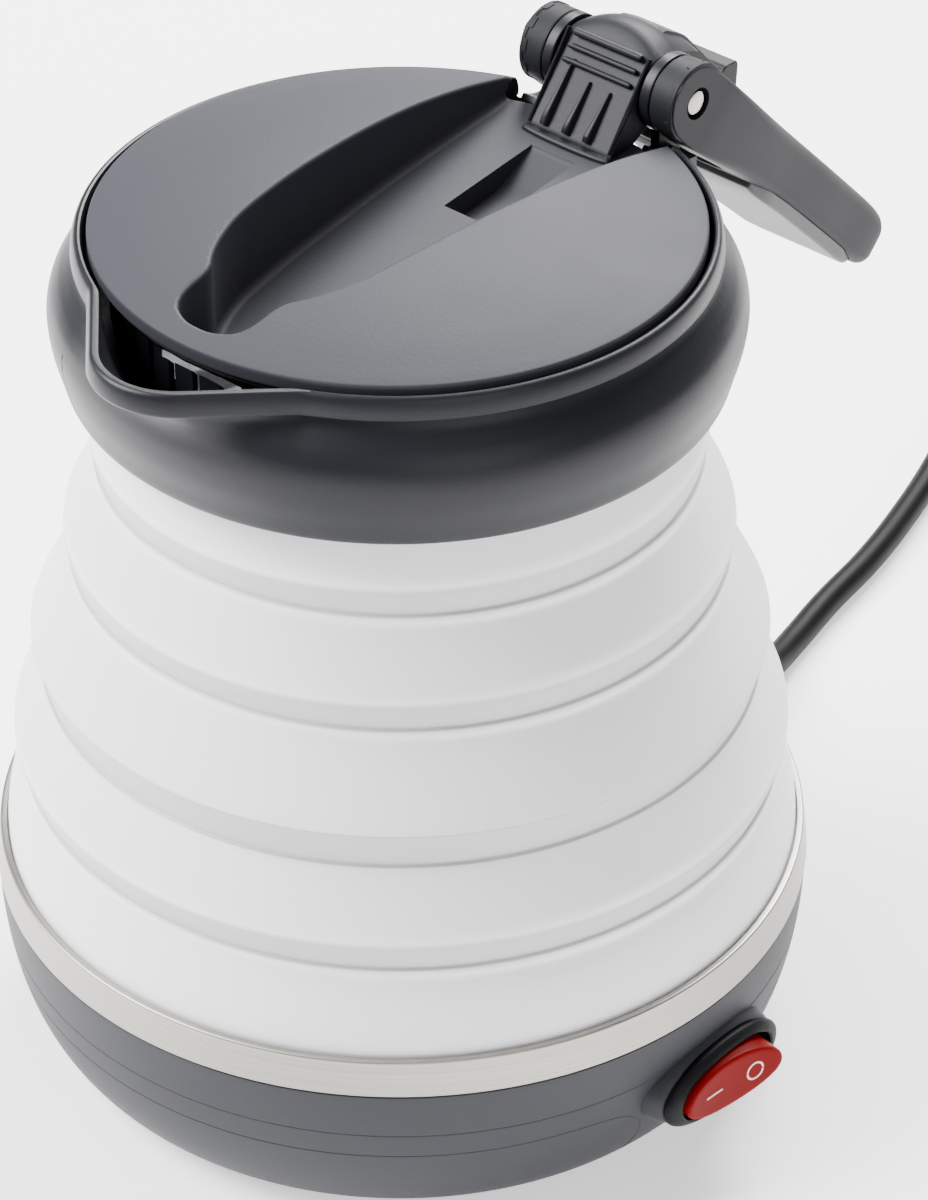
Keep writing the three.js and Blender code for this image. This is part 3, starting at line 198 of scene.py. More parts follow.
def grain_group(name):
    """Fine spark-eroded grain of moulded plastic, with slow patches of gloss."""
    tree, given, out = group_of(
        name, {"Vector": None, "Scale": 900.0, "Height": 0.1, "Roughness": 0.45, "Spread": 0.08},
        ("Roughness", "Normal"),
    )
    fine = node_of(tree, "TexNoise", Detail=3.0, Roughness=0.6)
    patches = node_of(tree, "TexNoise", Scale=38.0, Detail=2.0)
    spread = node_of(tree, "Math", operation="MULTIPLY_ADD")
    centred = node_of(tree, "Math", {1: 0.5}, operation="SUBTRACT")
    bump = node_of(tree, "Bump", Distance=0.0002)
    wire(
        tree, (given, "Vector", fine, "Vector"), (given, "Scale", fine, "Scale"),
        (given, "Vector", patches, "Vector"), (patches, "Fac", centred, 0), (centred, 0, spread, 0),
        (given, "Spread", spread, 1), (given, "Roughness", spread, 2), (fine, "Fac", bump, "Height"),
        (given, "Height", bump, "Strength"), (spread, 0, out, "Roughness"), (bump, "Normal", out, "Normal"),
    )
    return tree


def drift_group(name):
    """Slow drift of a colour over a surface."""
    tree, given, out = group_of(
        name, {"Vector": None, "Color": (0.5, 0.5, 0.5, 1.0), "Scale": 25.0, "Amount": 0.06}, ("Color",)
    )
    noise = node_of(tree, "TexNoise", Detail=4.0, Roughness=0.55)
    centred = node_of(tree, "Math", {1: 0.5}, operation="SUBTRACT")
    value = node_of(tree, "Math", {2: 1.0}, operation="MULTIPLY_ADD")
    shade = node_of(tree, "HueSaturation")
    wire(
        tree, (given, "Vector", noise, "Vector"), (given, "Scale", noise, "Scale"),
        (noise, "Fac", centred, 0), (centred, 0, value, 0), (given, "Amount", value, 1),
        (value, 0, shade, "Value"), (given, "Color", shade, "Color"), (shade, "Color", out, "Color"),
    )
    return tree


def brushed_group(name):
    """Fine lines that run round the axis, as on a rolled and brushed band."""
    tree, given, out = group_of(
        name, {"Vector": None, "Color": (0.6, 0.6, 0.6, 1.0), "Roughness": 0.3, "Strength": 0.15},
        ("Color", "Roughness", "Normal"),
    )
    stretch = node_of(tree, "Mapping", Scale=(12.0, 12.0, 2600.0))
    lines = node_of(tree, "TexNoise", Scale=1.0, Detail=4.0, Roughness=0.7)
    slow = node_of(tree, "TexNoise", Scale=14.0, Detail=2.0)
    rough = node_of(tree, "Math", {1: 0.22}, operation="MULTIPLY_ADD")
    shade = node_of(tree, "HueSaturation")
    limits = {"From Min": 0.3, "From Max": 0.7, "To Min": 0.86, "To Max": 1.12}
    value = node_of(tree, "MapRange", limits)
    bump = node_of(tree, "Bump", Distance=0.00005)
    wire(
        tree, (given, "Vector", stretch, "Vector"), (stretch, "Vector", lines, "Vector"),
        (given, "Vector", slow, "Vector"), (slow, "Fac", rough, 0), (given, "Roughness", rough, 2),
        (lines, "Fac", value, "Value"), (value, "Result", shade, "Value"), (given, "Color", shade, "Color"),
        (lines, "Fac", bump, "Height"), (given, "Strength", bump, "Strength"),
        (shade, "Color", out, "Color"), (rough, 0, out, "Roughness"), (bump, "Normal", out, "Normal"),
    )
    return tree


GROUPS = {"moulded_grain": grain_group, "colour_drift": drift_group, "brushed_lines": brushed_group}


def bare_material(name):
    """A material with a Principled shader and the object's coordinates, or no tree if it exists."""
    material = bpy.data.materials.get(name)
    if material is not None:
        return material, None, None, None
    material = bpy.data.materials.new(name)
    material.use_nodes = True
    tree = material.node_tree
    return material, tree, tree.nodes["Principled BSDF"], tree.nodes.new("ShaderNodeTexCoord")


def use_group(tree, name, place, **values):
    """A shader group in a material, made once, on the object's coordinates and with its inputs set."""
    node = tree.nodes.new("ShaderNodeGroup")
    node.node_tree = bpy.data.node_groups.get(name) or GROUPS[name](name)
    wire(tree, (place, "Object", node, "Vector"))
    for key, value in values.items():
        node.inputs[key].default_value = value
    return node


def complete(material, tree, shader, colour, tint, surface, **inputs):
    """Links a material's colour, roughness and normal, and sets the shader's other inputs."""
    wire(
        tree, (*tint, shader, "Base Color"), (surface, "Roughness", shader, "Roughness"),
        (surface, "Normal", shader, "Normal"),
    )
    for key, value in inputs.items():
        shader.inputs[key.replace("_", " ")].default_value = value
    material.diffuse_color = (*colour, 1.0)
    return material


def plastic(name, colour, roughness, grain, scale=1100.0, drift=0.08, spread=0.1, specular=0.5):
    """A moulded plastic or rubber."""
    material, tree, shader, place = bare_material(name)
    if tree is None:
        return material
    tint = use_group(tree, "colour_drift", place, Color=(*colour, 1.0), Amount=drift)
    surface = use_group(
        tree, "moulded_grain", place, Scale=scale, Height=grain, Roughness=roughness, Spread=spread
    )
    return complete(material, tree, shader, colour, (tint, "Color"), surface, Specular_IOR_Level=specular)


def metal(name, colour, roughness, strength):
    """Brushed or turned metal."""
    material, tree, shader, place = bare_material(name)
    if tree is None:
        return material
    surface = use_group(
        tree, "brushed_lines", place, Color=(*colour, 1.0), Roughness=roughness, Strength=strength
    )
    return complete(material, tree, shader, colour, (surface, "Color"), surface, Metallic=1.0)


def silicone():
    """White silicone, soft and slightly clear, greyer by painted shade where the fold attribute marks the
    strips between the bands.
    """
    material, tree, shader, place = bare_material("white silicone")
    if tree is None:
        return material
    colour = colours().silicone
    tint = use_group(tree, "colour_drift", place, Color=(*colour, 1.0), Scale=18.0, Amount=0.03)
    surface = use_group(tree, "moulded_grain", place, Scale=700.0, Height=0.05, Roughness=0.42, Spread=0.08)
    fold = node_of(tree, "Attribute", attribute_name="fold")
    shade = node_of(tree, "Mix", data_type="RGBA", blend_type="MULTIPLY")
    shade.inputs["B"].default_value = (*colours().fold, 1.0)
    wire(tree, (fold, "Fac", shade, "Factor"), (tint, "Color", shade, "A"))
    return complete(
        material, tree, shader, colour, (shade, "Result"), surface, Subsurface_Weight=0.5,
        Subsurface_Radius=(1.0, 1.0, 1.0), Subsurface_Scale=0.003,
    )


def fold_painted_shade(piece, *strips):
    """Marks the strips between a bellows' bands, from (low, high) heights in millimetres, with painted shade:
    full on the strips, faint on the bands, and none on the bead and brow at each strip's edges, which makes
    painted highlights there.
    """
    height = places_of(piece)[:, 2] / MM
    shade = np.full(len(height), 0.08, dtype=np.float32)
    for low, high in strips:
        # Painted highlights: the bead below each strip and the brow above it lose the bands' faint tint, so
        # they show lighter.
        bead_highlight = np.clip(np.abs(height - low + 0.4) / 0.5 - 0.8, 0, 1)
        brow_highlight = np.clip(np.abs(height - high - 0.3) / 1.6 - 0.3, 0, 1)
        inside = np.clip((height - low) / 0.3, 0, 1) * np.clip((high + 0.4 - height) / 0.9, 0, 1)
        shade = np.maximum(shade * bead_highlight * brow_highlight, inside)
    piece.data.attributes.new("fold", "FLOAT", "POINT").data.foreach_set("value", shade)
    return piece


def paint(name, colour):
    """A thin printed mark."""
    return plastic(name, colour, 0.4, 0.03, drift=0.02)


def finish_of(slot):
    """The material of a slot of the record."""
    c = colours()
    makers = {
        "base_grey": lambda: plastic("base plastic", c.base, 0.55, 0.16, specular=0.25),
        "collar_grey": lambda: plastic("collar plastic", c.collar, 0.4, 0.14, spread=0.12, specular=0.22),
        "lid_grey": lambda: plastic("lid plastic", c.lid, 0.6, 0.2, 1300.0, specular=0.22),
        # Painted shade: the lever gets a darker copy of the lid's plastic.
        "lever": lambda: plastic("shaded lid plastic", c.lever, 0.5, 0.16, specular=0.2),
        "handle_grey": lambda: plastic("handle plastic", c.handle, 0.6, 0.14, specular=0.2),
        "cover_grey": lambda: plastic("handle inlay plastic", c.cover, 0.5, 0.1, specular=0.4),
        "white_silicone": silicone,
        "brushed_steel": lambda: metal("brushed steel", c.steel, 0.26, 0.25),
        "plated_steel": lambda: metal("plated steel", c.steel, 0.14, 0.05),
        "black_plastic": lambda: plastic("black plastic", c.black, 0.45, 0.12, specular=0.1),
        "red_plastic": lambda: plastic("red plastic", c.rocker, 0.4, 0.03, specular=0.05),
        "black_rubber": lambda: plastic("black rubber", c.rubber, 0.5, 0.15, 1600.0, specular=0.09),
    }
    return makers[slot]()


def node_slots():
    """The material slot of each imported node, from the record."""
    return {part["node"]: part["material_slot"] for part in frame["record"]["subparts"]}


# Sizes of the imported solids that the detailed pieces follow, in millimetres

BOWL_RADIUS = 74.8
FOOT_RADIUS = 61.0
SHOULDER = 35.5
CREASE_TOP = 50.6
CREASE_BOTTOM = 72.5
CREASE_LOW = 43.2
CREASE_HIGH = 139.2
COLLAR_BOTTOM = 139.4
COLLAR_HEIGHT = 26.7
RIM_RADIUS = 55.0
SPOUT_REACH = 67.5
SPOUT_NOSE = 14.7
HINGE_Y = 58.3
HINGE_Z = 171.1
HINGE = (0, HINGE_Y, HINGE_Z)
SADDLE_RADIUS = 11.3
SADDLE_HALF = 18.4
EAR_INSIDE = 10.1
EAR_OUTSIDE = 12.2
PIN_END = 17.4
LID_RADIUS = 52.6
LID_TOP = 166.9
LID_BOTTOM = 164.3
DOME_RISE = 6.9
FOLDED_SLOPE = math.radians(-5.5)
LEVER_FOOT_Y = 44.4
LEVER_HALF = 9.6
SWITCH_HEIGHT = 20.4
HANDLE_SLOPE = math.radians(43.5)
HANDLE_LENGTH = 93.5
HANDLE_HALF = 17.7
HANDLE_RISE = 6.9
HANDLE_DROP = 7.1
RELIEF_FACE = 71.1194
RELIEF_Z = 12


# Shapes


def soft_corner(before, corner, after, radius, steps=5):
    """Points that round a corner between its two neighbours."""
    reach = []
    for other in (before, after):
        way = [b - a for a, b in zip(corner, other)]
        length = math.hypot(*way)
        share = min(radius / length, 0.48)
        reach.append([a + w * share for a, w in zip(corner, way)])
    points = []
    for i in range(steps + 1):
        t = i / steps
        points.append(tuple(
            (1 - t) ** 2 * a + 2 * t * (1 - t) * c + t * t * b for a, c, b in zip(reach[0], corner, reach[1])
        ))
    return points


def softened(rows, closed=True, steps=5):
    """An outline of (a, b, radius) rows with its corners rounded."""
    points = []
    last = len(rows) - 1
    for i, (a, b, radius) in enumerate(rows):
        if not radius or (not closed and i in (0, last)):
            points.append((a, b))
            continue
        before, after = rows[i - 1][:2], rows[(i + 1) % len(rows)][:2]
        points.extend(soft_corner(before, (a, b), after, radius, steps))
    return points


def flowing(rows, steps):
    """A smooth curve through rows of numbers, with steps between each two."""
    points = []
    for i in range(len(rows) - 1):
        a, b, c, d = rows[max(i - 1, 0)], rows[i], rows[i + 1], rows[min(i + 2, len(rows) - 1)]
        for j in range(steps):
            t = j / steps
            points.append(tuple(0.5 * (
                2 * q + (r - p) * t + (2 * p - 5 * q + 4 * r - s) * t * t + (3 * q - p - 3 * r + s) * t ** 3
            ) for p, q, r, s in zip(a, b, c, d)))
    points.append(tuple(rows[-1]))
    return points


def between(rows, value):
    """The numbers of a row at a value of the first column, on a straight line between two rows."""
    for (start, *before), (end, *after) in zip(rows, rows[1:]):
        if value <= end:
            t = (value - start) / (end - start)
            return [a + t * (b - a) for a, b in zip(before, after)]
    return rows[-1][1:]


def smoothstep(value, low, high):
    """A share that eases from 0 at low to 1 at high."""
    share = min(1.0, max(0.0, (value - low) / (high - low)))
    return share * share * (3 - 2 * share)


def oval(half_a, half_b, count=64, power=2.4):
    """A squared-off oval about the origin."""
    points = []
    for i in range(count):
        c, s = math.cos(i * math.tau / count), math.sin(i * math.tau / count)
        points.append(tuple(
            half * math.copysign(abs(part) ** (2 / power), part) for half, part in ((half_a, c), (half_b, s))
        ))
    return points


def lofted(name, rings, closed=False):
    """A closed skin over rings of equal count, in millimetres: a circle, extruded ring by ring."""
    count, rows = len(rings[0]), len(rings)
    pick()
    bpy.ops.mesh.primitive_circle_add(vertices=count, radius=1, fill_type="NOTHING", location=(0, 0, 0))
    piece = bpy.context.object
    piece.name = piece.data.name = name
    bpy.ops.object.mode_set(mode="EDIT")
    bpy.ops.mesh.select_all(action="SELECT")
    for _ in range(rows if closed else rows - 1):
        bpy.ops.mesh.extrude_edges_move(TRANSFORM_OT_translate={"value": (0, 0, 1)})
    bpy.ops.object.mode_set(mode="OBJECT")
    places = places_of(piece)
    row = np.rint(places[:, 2]).astype(int) % rows
    turn = np.arctan2(places[:, 1], places[:, 0]) - math.pi / 2
    step = np.rint(turn / math.tau * count).astype(int) % count
    table = np.array(rings, dtype=np.float64) * MM
    piece.data.vertices.foreach_set("co", table[row, step].astype(np.float32).ravel())
    piece.data.update()
    for end in () if closed else (0, rows - 1):
        if np.ptp(table[end], axis=0).max() < WELD * 10:
            continue
        bpy.ops.object.mode_set(mode="EDIT")
        bpy.ops.mesh.select_all(action="DESELECT")
        bpy.ops.object.mode_set(mode="OBJECT")
        piece.data.vertices.foreach_set("select", row == end)
        bpy.ops.object.mode_set(mode="EDIT")
        bpy.ops.mesh.edge_face_add()
        bpy.ops.object.mode_set(mode="OBJECT")
    bpy.ops.object.mode_set(mode="EDIT")
    bpy.ops.mesh.select_all(action="SELECT")
    bpy.ops.mesh.remove_doubles(threshold=WELD)
    bpy.ops.mesh.normals_make_consistent(inside=False)
    bpy.ops.object.mode_set(mode="OBJECT")
    return piece


def spun(name, profile, count=192, axis="Z", centre=(0, 0, 0), closed=None):
    """A body of revolution of (radius, height) points about an axis through centre."""
    if closed is None:
        closed = profile[0][0] > 0 or profile[-1][0] > 0
    order = {"X": (2, 0, 1), "Y": (1, 2, 0), "Z": (0, 1, 2)}[axis]
    rings = []
    for radius, height in profile:
        ring = []
        for i in range(count):
            local = (radius * math.cos(i * math.tau / count), radius * math.sin(i * math.tau / count), height)
            ring.append([centre[k] + local[order[k]] for k in range(3)])
        rings.append(ring)
    return lofted(name, rings, closed)


def rod(name, radius, low, high, count=96, axis="X", centre=HINGE):
    """A plain cylinder between two places on an axis, on the hinge if no centre is given."""
    return spun(name, [(0, low), (radius, low), (radius, high), (0, high)], count, axis, centre)


def prism(name, outline, low, high, axis="X"):
    """A prism of an outline, along X of (y, z) points or along Z of (x, y) points."""
    return lofted(name, [
        [(at, a, b) if axis == "X" else (a, b, at) for a, b in outline] for at in (low, high)
    ])


def boolean(piece, other, operation="DIFFERENCE"):
    """Cuts, joins or intersects a piece with another one, which goes."""
    pick(piece)
    modifier = piece.modifiers.new("boolean", "BOOLEAN")
    modifier.operation = operation
    modifier.solver = "EXACT"
    modifier.object = other
    bpy.ops.object.modifier_apply(modifier=modifier.name)
    pick(other)
    bpy.ops.object.delete()
    return piece


def bevelled(piece, width, segments=3, angle=30):
    """Rounds the sharp edges of a piece, width in millimetres."""
    pick(piece)
    modifier = piece.modifiers.new("edges", "BEVEL")
    modifier.width = width * MM
    modifier.segments = segments
    modifier.limit_method = "ANGLE"
    modifier.angle_limit = math.radians(angle)
    modifier.miter_outer = "MITER_ARC"
    bpy.ops.object.modifier_apply(modifier=modifier.name)
    return piece


def joined(name, *pieces):
    """Several closed parts as one piece."""
    pick(*pieces)
    bpy.ops.object.join()
    piece = bpy.context.object
    piece.name = piece.data.name = name
    return piece


def moved(piece, matrix):
    """Sets a piece's mesh by a matrix in metres."""
    pick(piece)
    piece.matrix_world = matrix
    bpy.ops.object.transform_apply(location=True, rotation=True, scale=True)
    return piece


def tube(name, path, radius, sides=8, closed=False):
    """A round bar along points, in millimetres."""
    rings = []
    for i, point in enumerate(path):
        before = Vector(path[i - 1] if closed or i else path[i])
        after = Vector(path[(i + 1) % len(path)] if closed or i < len(path) - 1 else path[i])
        ahead = (after - before).normalized()
        side = ahead.cross(Vector((0, 0, 1)))
        if side.length < 0.1:
            side = ahead.cross(Vector((1, 0, 0)))
        side.normalize()
        up = side.cross(ahead)
        rings.append([
            Vector(point) + radius * (math.cos(a) * side + math.sin(a) * up)
            for a in (k * math.tau / sides for k in range(sides))
        ])
    return lofted(name, rings, closed)


def bowl_curve(inset, steps):
    """The bowl's wall from its foot to its shoulder."""
    foot = (FOOT_RADIUS - inset, 1.0 + inset)
    top = (BOWL_RADIUS - inset, SHOULDER)
    rise = top[1] - foot[1]
    low = (foot[0] + (top[0] - foot[0]) * 0.6, foot[1] + rise * 0.05)
    knots = [foot, low, (top[0], top[1] - rise * 0.56), top]
    points = []
    for i in range(steps + 1):
        t = i / steps
        shares = ((1 - t) ** 3, 3 * t * (1 - t) ** 2, 3 * t * t * (1 - t), t ** 3)
        points.append(tuple(sum(w * knot[k] for w, knot in zip(shares, knots)) for k in range(2)))
    return points


def bowl_radius(height):
    """The bowl's outer radius at a height."""
    return between([(z, r) for r, z in bowl_curve(0, 60)], height)[0]


def on_bowl(azimuth, height, proud=0.0):
    """A place on the bowl, or proud of it, at an azimuth in degrees and a height."""
    turn, radius = math.radians(azimuth), bowl_radius(height) + proud
    return (radius * math.cos(turn), radius * math.sin(turn), height)


def crease(wide, high):
    """A bellows crease from its radius share and height share."""
    return (CREASE_TOP + wide * (CREASE_BOTTOM - CREASE_TOP), CREASE_LOW + high * (CREASE_HIGH - CREASE_LOW))


def recess_floor(y):
    """Height of the recess floor at a place along the lid."""
    return HINGE_Z + (HINGE_Y - y) * math.tan(FOLDED_SLOPE) - 7.432


# Cord route in metres, as the part's source has it

CORD_LOW = 0.0033
CORD_HIGH = 0.012
CORD_START_Y = 0.0894194
COIL_CENTRE = (-0.010, 0.2819994)
COIL_RADIUS = 0.038
COIL_LEAD = 0.012
COIL_PITCH = 0.007
COIL_LIFT = 0.0067
COIL_LAYER_TURNS = 1.0
COIL_CLIMB_TURNS = 0.5
COIL_STEPS = 20
PLUG_REAR = (0.031, 0.2342994, 0.0071)
CORD_SHARES = (
    (0, 0, 1), (0.004, 0.033, 1), (0.046, 0.095, 0.68), (0.108, 0.159, 0.2), (0.175, 0.225, 0),
    (0.246, 0.315, 0), (0.304, 0.412, 0), (0.398, 0.515, 0), (0.531, 0.628, 0), (0.68, 0.73, 0),
    (0.825, 0.82, 0), (0.94, 0.895, 0), (0.996, 0.96, 0),
)


def cord_points():
    """The cord's centre line from the strain relief through the coil to the plug."""
    cx, cy = COIL_CENTRE
    entry = (cx - COIL_RADIUS, cy - COIL_LEAD)
    points = [(
        aside * entry[0],
        CORD_START_Y + back * (entry[1] - CORD_START_Y),
        CORD_LOW + high * (CORD_HIGH - CORD_LOW),
    ) for aside, back, high in CORD_SHARES]
    for i in range(4):
        points.append((entry[0], entry[1] + COIL_LEAD * i / 4, CORD_LOW))
    turns = 2 * COIL_LAYER_TURNS + COIL_CLIMB_TURNS
    steps = round(turns * COIL_STEPS)
    for i in range(steps + 1):
        turn = i / COIL_STEPS
        radius = COIL_RADIUS - COIL_PITCH * (turns / 2 - abs(turn - turns / 2))
        climb = smoothstep(turn, COIL_LAYER_TURNS, COIL_LAYER_TURNS + COIL_CLIMB_TURNS)
        angle = math.pi - turn * 2 * math.pi
        points.append((
            cx + radius * math.cos(angle), cy + radius * math.sin(angle), CORD_LOW + climb * COIL_LIFT
        ))
    end = points[-1]
    for i in range(1, 7):
        along = i / 6
        ease = smoothstep(along, 0, 0.8)
        points.append((
            end[0] + (PLUG_REAR[0] - end[0]) * ease,
            end[1] + (PLUG_REAR[1] - end[1]) * along,
            end[2] + (PLUG_REAR[2] - end[2]) * ease,
        ))
    return points


class KettleStep:
    """What the kettle's operators share."""

    bl_options = {"REGISTER", "UNDO"}

    def finish(self, piece, body, slot, *nodes, smooth=30, material=None):
        """Smooths a piece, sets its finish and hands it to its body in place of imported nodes."""
        pick(piece)
        bpy.ops.object.shade_smooth_by_angle(angle=math.radians(smooth))
        modifier = piece.modifiers.new("normals", "WEIGHTED_NORMAL")
        modifier.keep_sharp = True
        bpy.ops.object.modifier_apply(modifier=modifier.name)
        piece.data.materials.clear()
        piece.data.materials.append(material or finish_of(slot))
        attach(piece, body)
        if nodes:
            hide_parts(*nodes)
        return piece


class KETTLE_OT_stage(KettleStep, bpy.types.Operator):
    """Sets the floor, the soft studio lights and the camera at the photograph's angle."""

    bl_idname = "kettle.stage"
    bl_label = "Floor, lights and camera"

    WHITE = (1.0, 1.0, 1.0, 1.0)
    WORLD_STRENGTH = 0.45
    FLOOR_SHADER = {
        "Roughness": 0.75, "Specular IOR Level": 0.2, "Emission Color": WHITE, "Emission Strength": 0.8,
    }
    LIGHT_SIZE = 0.9
    LIGHTS = (
        ("key", 86.0, (-0.85, -0.75, 1.2)),
        ("fill", 8.0, (1.25, -0.6, 0.8)),
        ("back", 92.0, (-0.45, 1.1, 1.25)),
    )
    MIDDLE = Vector((0, 0, 0.09))
    CAMERA_PLACE = (0.4402, -0.4804, 0.5542)
    CAMERA_AHEAD = Vector((-0.53875, 0.60884, -0.58226))
    CAMERA_ROLL = math.radians(0.13)

    def execute(self, context):
        pick()
        bpy.ops.mesh.primitive_plane_add(size=8, location=(0, 0, 0))
        floor = context.object
        floor.name = "studio_floor"
        material, tree, shader, place = bare_material("studio floor")
        tint = use_group(tree, "colour_drift", place, Color=(*colours().floor, 1.0), Scale=3.0, Amount=0.02)
        wire(tree, (tint, "Color", shader, "Base Color"))
        for socket, value in self.FLOOR_SHADER.items():
            shader.inputs[socket].default_value = value
        floor.data.materials.append(material)
        world = bpy.data.worlds.new("studio")
        world.use_nodes = True
        background = world.node_tree.nodes["Background"]
        background.inputs["Color"].default_value = self.WHITE
        background.inputs["Strength"].default_value = self.WORLD_STRENGTH
        context.scene.world = world
        for name, energy, spot in self.LIGHTS:
            bpy.ops.object.light_add(type="AREA", location=spot)
            light = context.object
            light.name = light.data.name = f"studio_{name}"
            light.data.energy = energy
            light.data.size = self.LIGHT_SIZE
            light.rotation_euler = (self.MIDDLE - Vector(spot)).to_track_quat("-Z", "Y").to_euler()
        bpy.ops.object.camera_add(location=self.CAMERA_PLACE)
        camera = context.object
        ahead = self.CAMERA_AHEAD.normalized()
        right = ahead.cross(Vector((0, 0, 1))).normalized()
        up = right.cross(ahead)
        c, s = math.cos(self.CAMERA_ROLL), math.sin(self.CAMERA_ROLL)
        right, up = right * c + up * s, up * c - right * s
        turn = Matrix((right, up, -ahead)).transposed()
        camera.rotation_euler = turn.to_euler()
        camera.data.sensor_width = 36
        camera.data.lens = sizes().lens
        camera.data.dof.use_dof = False
        context.scene.camera = camera
        return {"FINISHED"}


class KETTLE_OT_cord(KettleStep, bpy.types.Operator):
    """Lays the mains cord from its strain relief to the coil and the plug."""

    bl_idname = "kettle.cord"
    bl_label = "Mains cord and plug"

    def execute(self, context):
        points = cord_points()
        curve = bpy.data.curves.new("mains_cord", "CURVE")
        curve.dimensions = "3D"
        spline = curve.splines.new("BEZIER")
        spline.bezier_points.add(len(points) - 1)
        for knot, point in zip(spline.bezier_points, points):
            knot.co = point
            knot.handle_left_type = knot.handle_right_type = "AUTO"
        spline.resolution_u = 6
        curve.bevel_depth = sizes().cord_diameter / 2
        curve.bevel_resolution = 6
        curve.use_fill_caps = True
        cord = bpy.data.objects.new("mains_cord", curve)
        context.scene.collection.objects.link(cord)
        curve.materials.append(finish_of("black_rubber"))
        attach(cord, "base")
        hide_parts("cord_run", "cord_coil")
        for node in ("plug_body", "plug_pin_left", "plug_pin_right"):
            piece = bevelled(copy_of(node, f"mains_{node}"), sizes().edge_round / MM, 2, 40)
            self.finish(piece, "base", node_slots()[node], node, smooth=40)
        return {"FINISHED"}


class KETTLE_OT_base(KettleStep, bpy.types.Operator):
    """Models the bowl with its moulded lines, the switch's boss and the steel band."""

    bl_idname = "kettle.base"
    bl_label = "Base and steel band"

    def execute(self, context):
        wall, floor = 2.4, 5.7
        outer = bowl_curve(0, 44)
        inner = [p for p in bowl_curve(wall, 16) if p[1] > floor + 0.3][::-1]
        rows = [(57.5, 1.0, 0.3)]
        rows += [(r, z, 0) for r, z in outer[:-1]]
        rows += [(BOWL_RADIUS, SHOULDER, 0.35), (73.0, SHOULDER, 0.2), (73.0, 38.5, 0.3), (70.4, 38.5, 0.3)]
        rows += [(70.4, SHOULDER, 0)] + [(r, z, 0) for r, z in inner]
        rows += [(54.5, floor, 0), (54.5, floor - 2, 0), (57.5, floor - 2, 0)]
        bowl = spun("base_bowl", softened(rows, steps=3), 224)
        proud, line_radius, line_height = 0.33, 0.45, 26.2
        ring = [on_bowl(i * 360 / 288, line_height, proud) for i in range(288)]
        boolean(bowl, tube("line", ring, line_radius, 8, closed=True))
        low = [
            (-12.6, 5.5), (-12.2, 8), (-11.8, 11), (-12.0, 14), (-13.0, 17), (-15.5, 19.4), (-19.5, 20.5),
            (-26, 20.8),
        ]
        far = [(-26 - i * 4, 20.8) for i in range(1, 76)]
        near = [(-334 - i, z) for i, z in (
            (0, 20.8), (6.5, 20.5), (10.5, 19.4), (13, 17), (14, 14), (14.2, 11), (13.8, 8), (13.4, 5.5),
        )]
        path = flowing(low + [p for p in far if p[0] > -332] + near, 4)
        boolean(bowl, tube("line", [on_bowl(azimuth, z, proud) for azimuth, z in path], line_radius, 8))
        boss = [
            [(x, a, SWITCH_HEIGHT + b) for a, b in oval(15.1 + grow, 7.2 + grow, 96, 2.1)] for x, grow in
            ((67.5, 1.7), (71.5, 1.2), (73.6, 0.9), (74.6, 0.6), (75.2, 0.3), (75.6, 0.0), (75.8, -0.4))
        ]
        boolean(bowl, lofted("boss", boss), "UNION")
        opening = [(a, SWITCH_HEIGHT + b) for a, b in oval(13.6, 7.1, 64)]
        boolean(bowl, prism("opening", opening, 64, 80))
        boolean(bowl, rod("hole", 5.5, -12, 8, 48, "Y", (0, RELIEF_FACE, RELIEF_Z)))
        self.finish(bowl, "base", "base_grey", "base_shell", smooth=28)
        band = [
            (74.3, 35.8, 0.1), (75.0, 35.8, 0.3), (74.1, 42.9, 0.45), (72.9, 42.9, 0.1), (72.9, 42.2, 0),
            (73.4, 42.2, 0),
        ]
        band = spun("band", softened(band, steps=4), 256)
        self.finish(band, "base", "brushed_steel", "steel_band", smooth=40)
        return {"FINISHED"}


class KETTLE_OT_underside(KettleStep, bpy.types.Operator):
    """Gives the plate, the feet, the screws, the heater and the cut-out their edges and finishes."""

    bl_idname = "kettle.underside"
    bl_label = "Underside and heater"

    def execute(self, context):
        slots = node_slots()
        for node in sorted(slots):
            if not node.startswith(("base_plate", "foot_pad", "base_screw", "heat", "thermal")):
                continue
            piece = copy_of(node, f"made_{node}")
            if node.startswith(("base_screw", "base_plate")):
                bevelled(piece, 0.15, 2, 50)
            self.finish(piece, "base", slots[node], node, smooth=40)
        return {"FINISHED"}


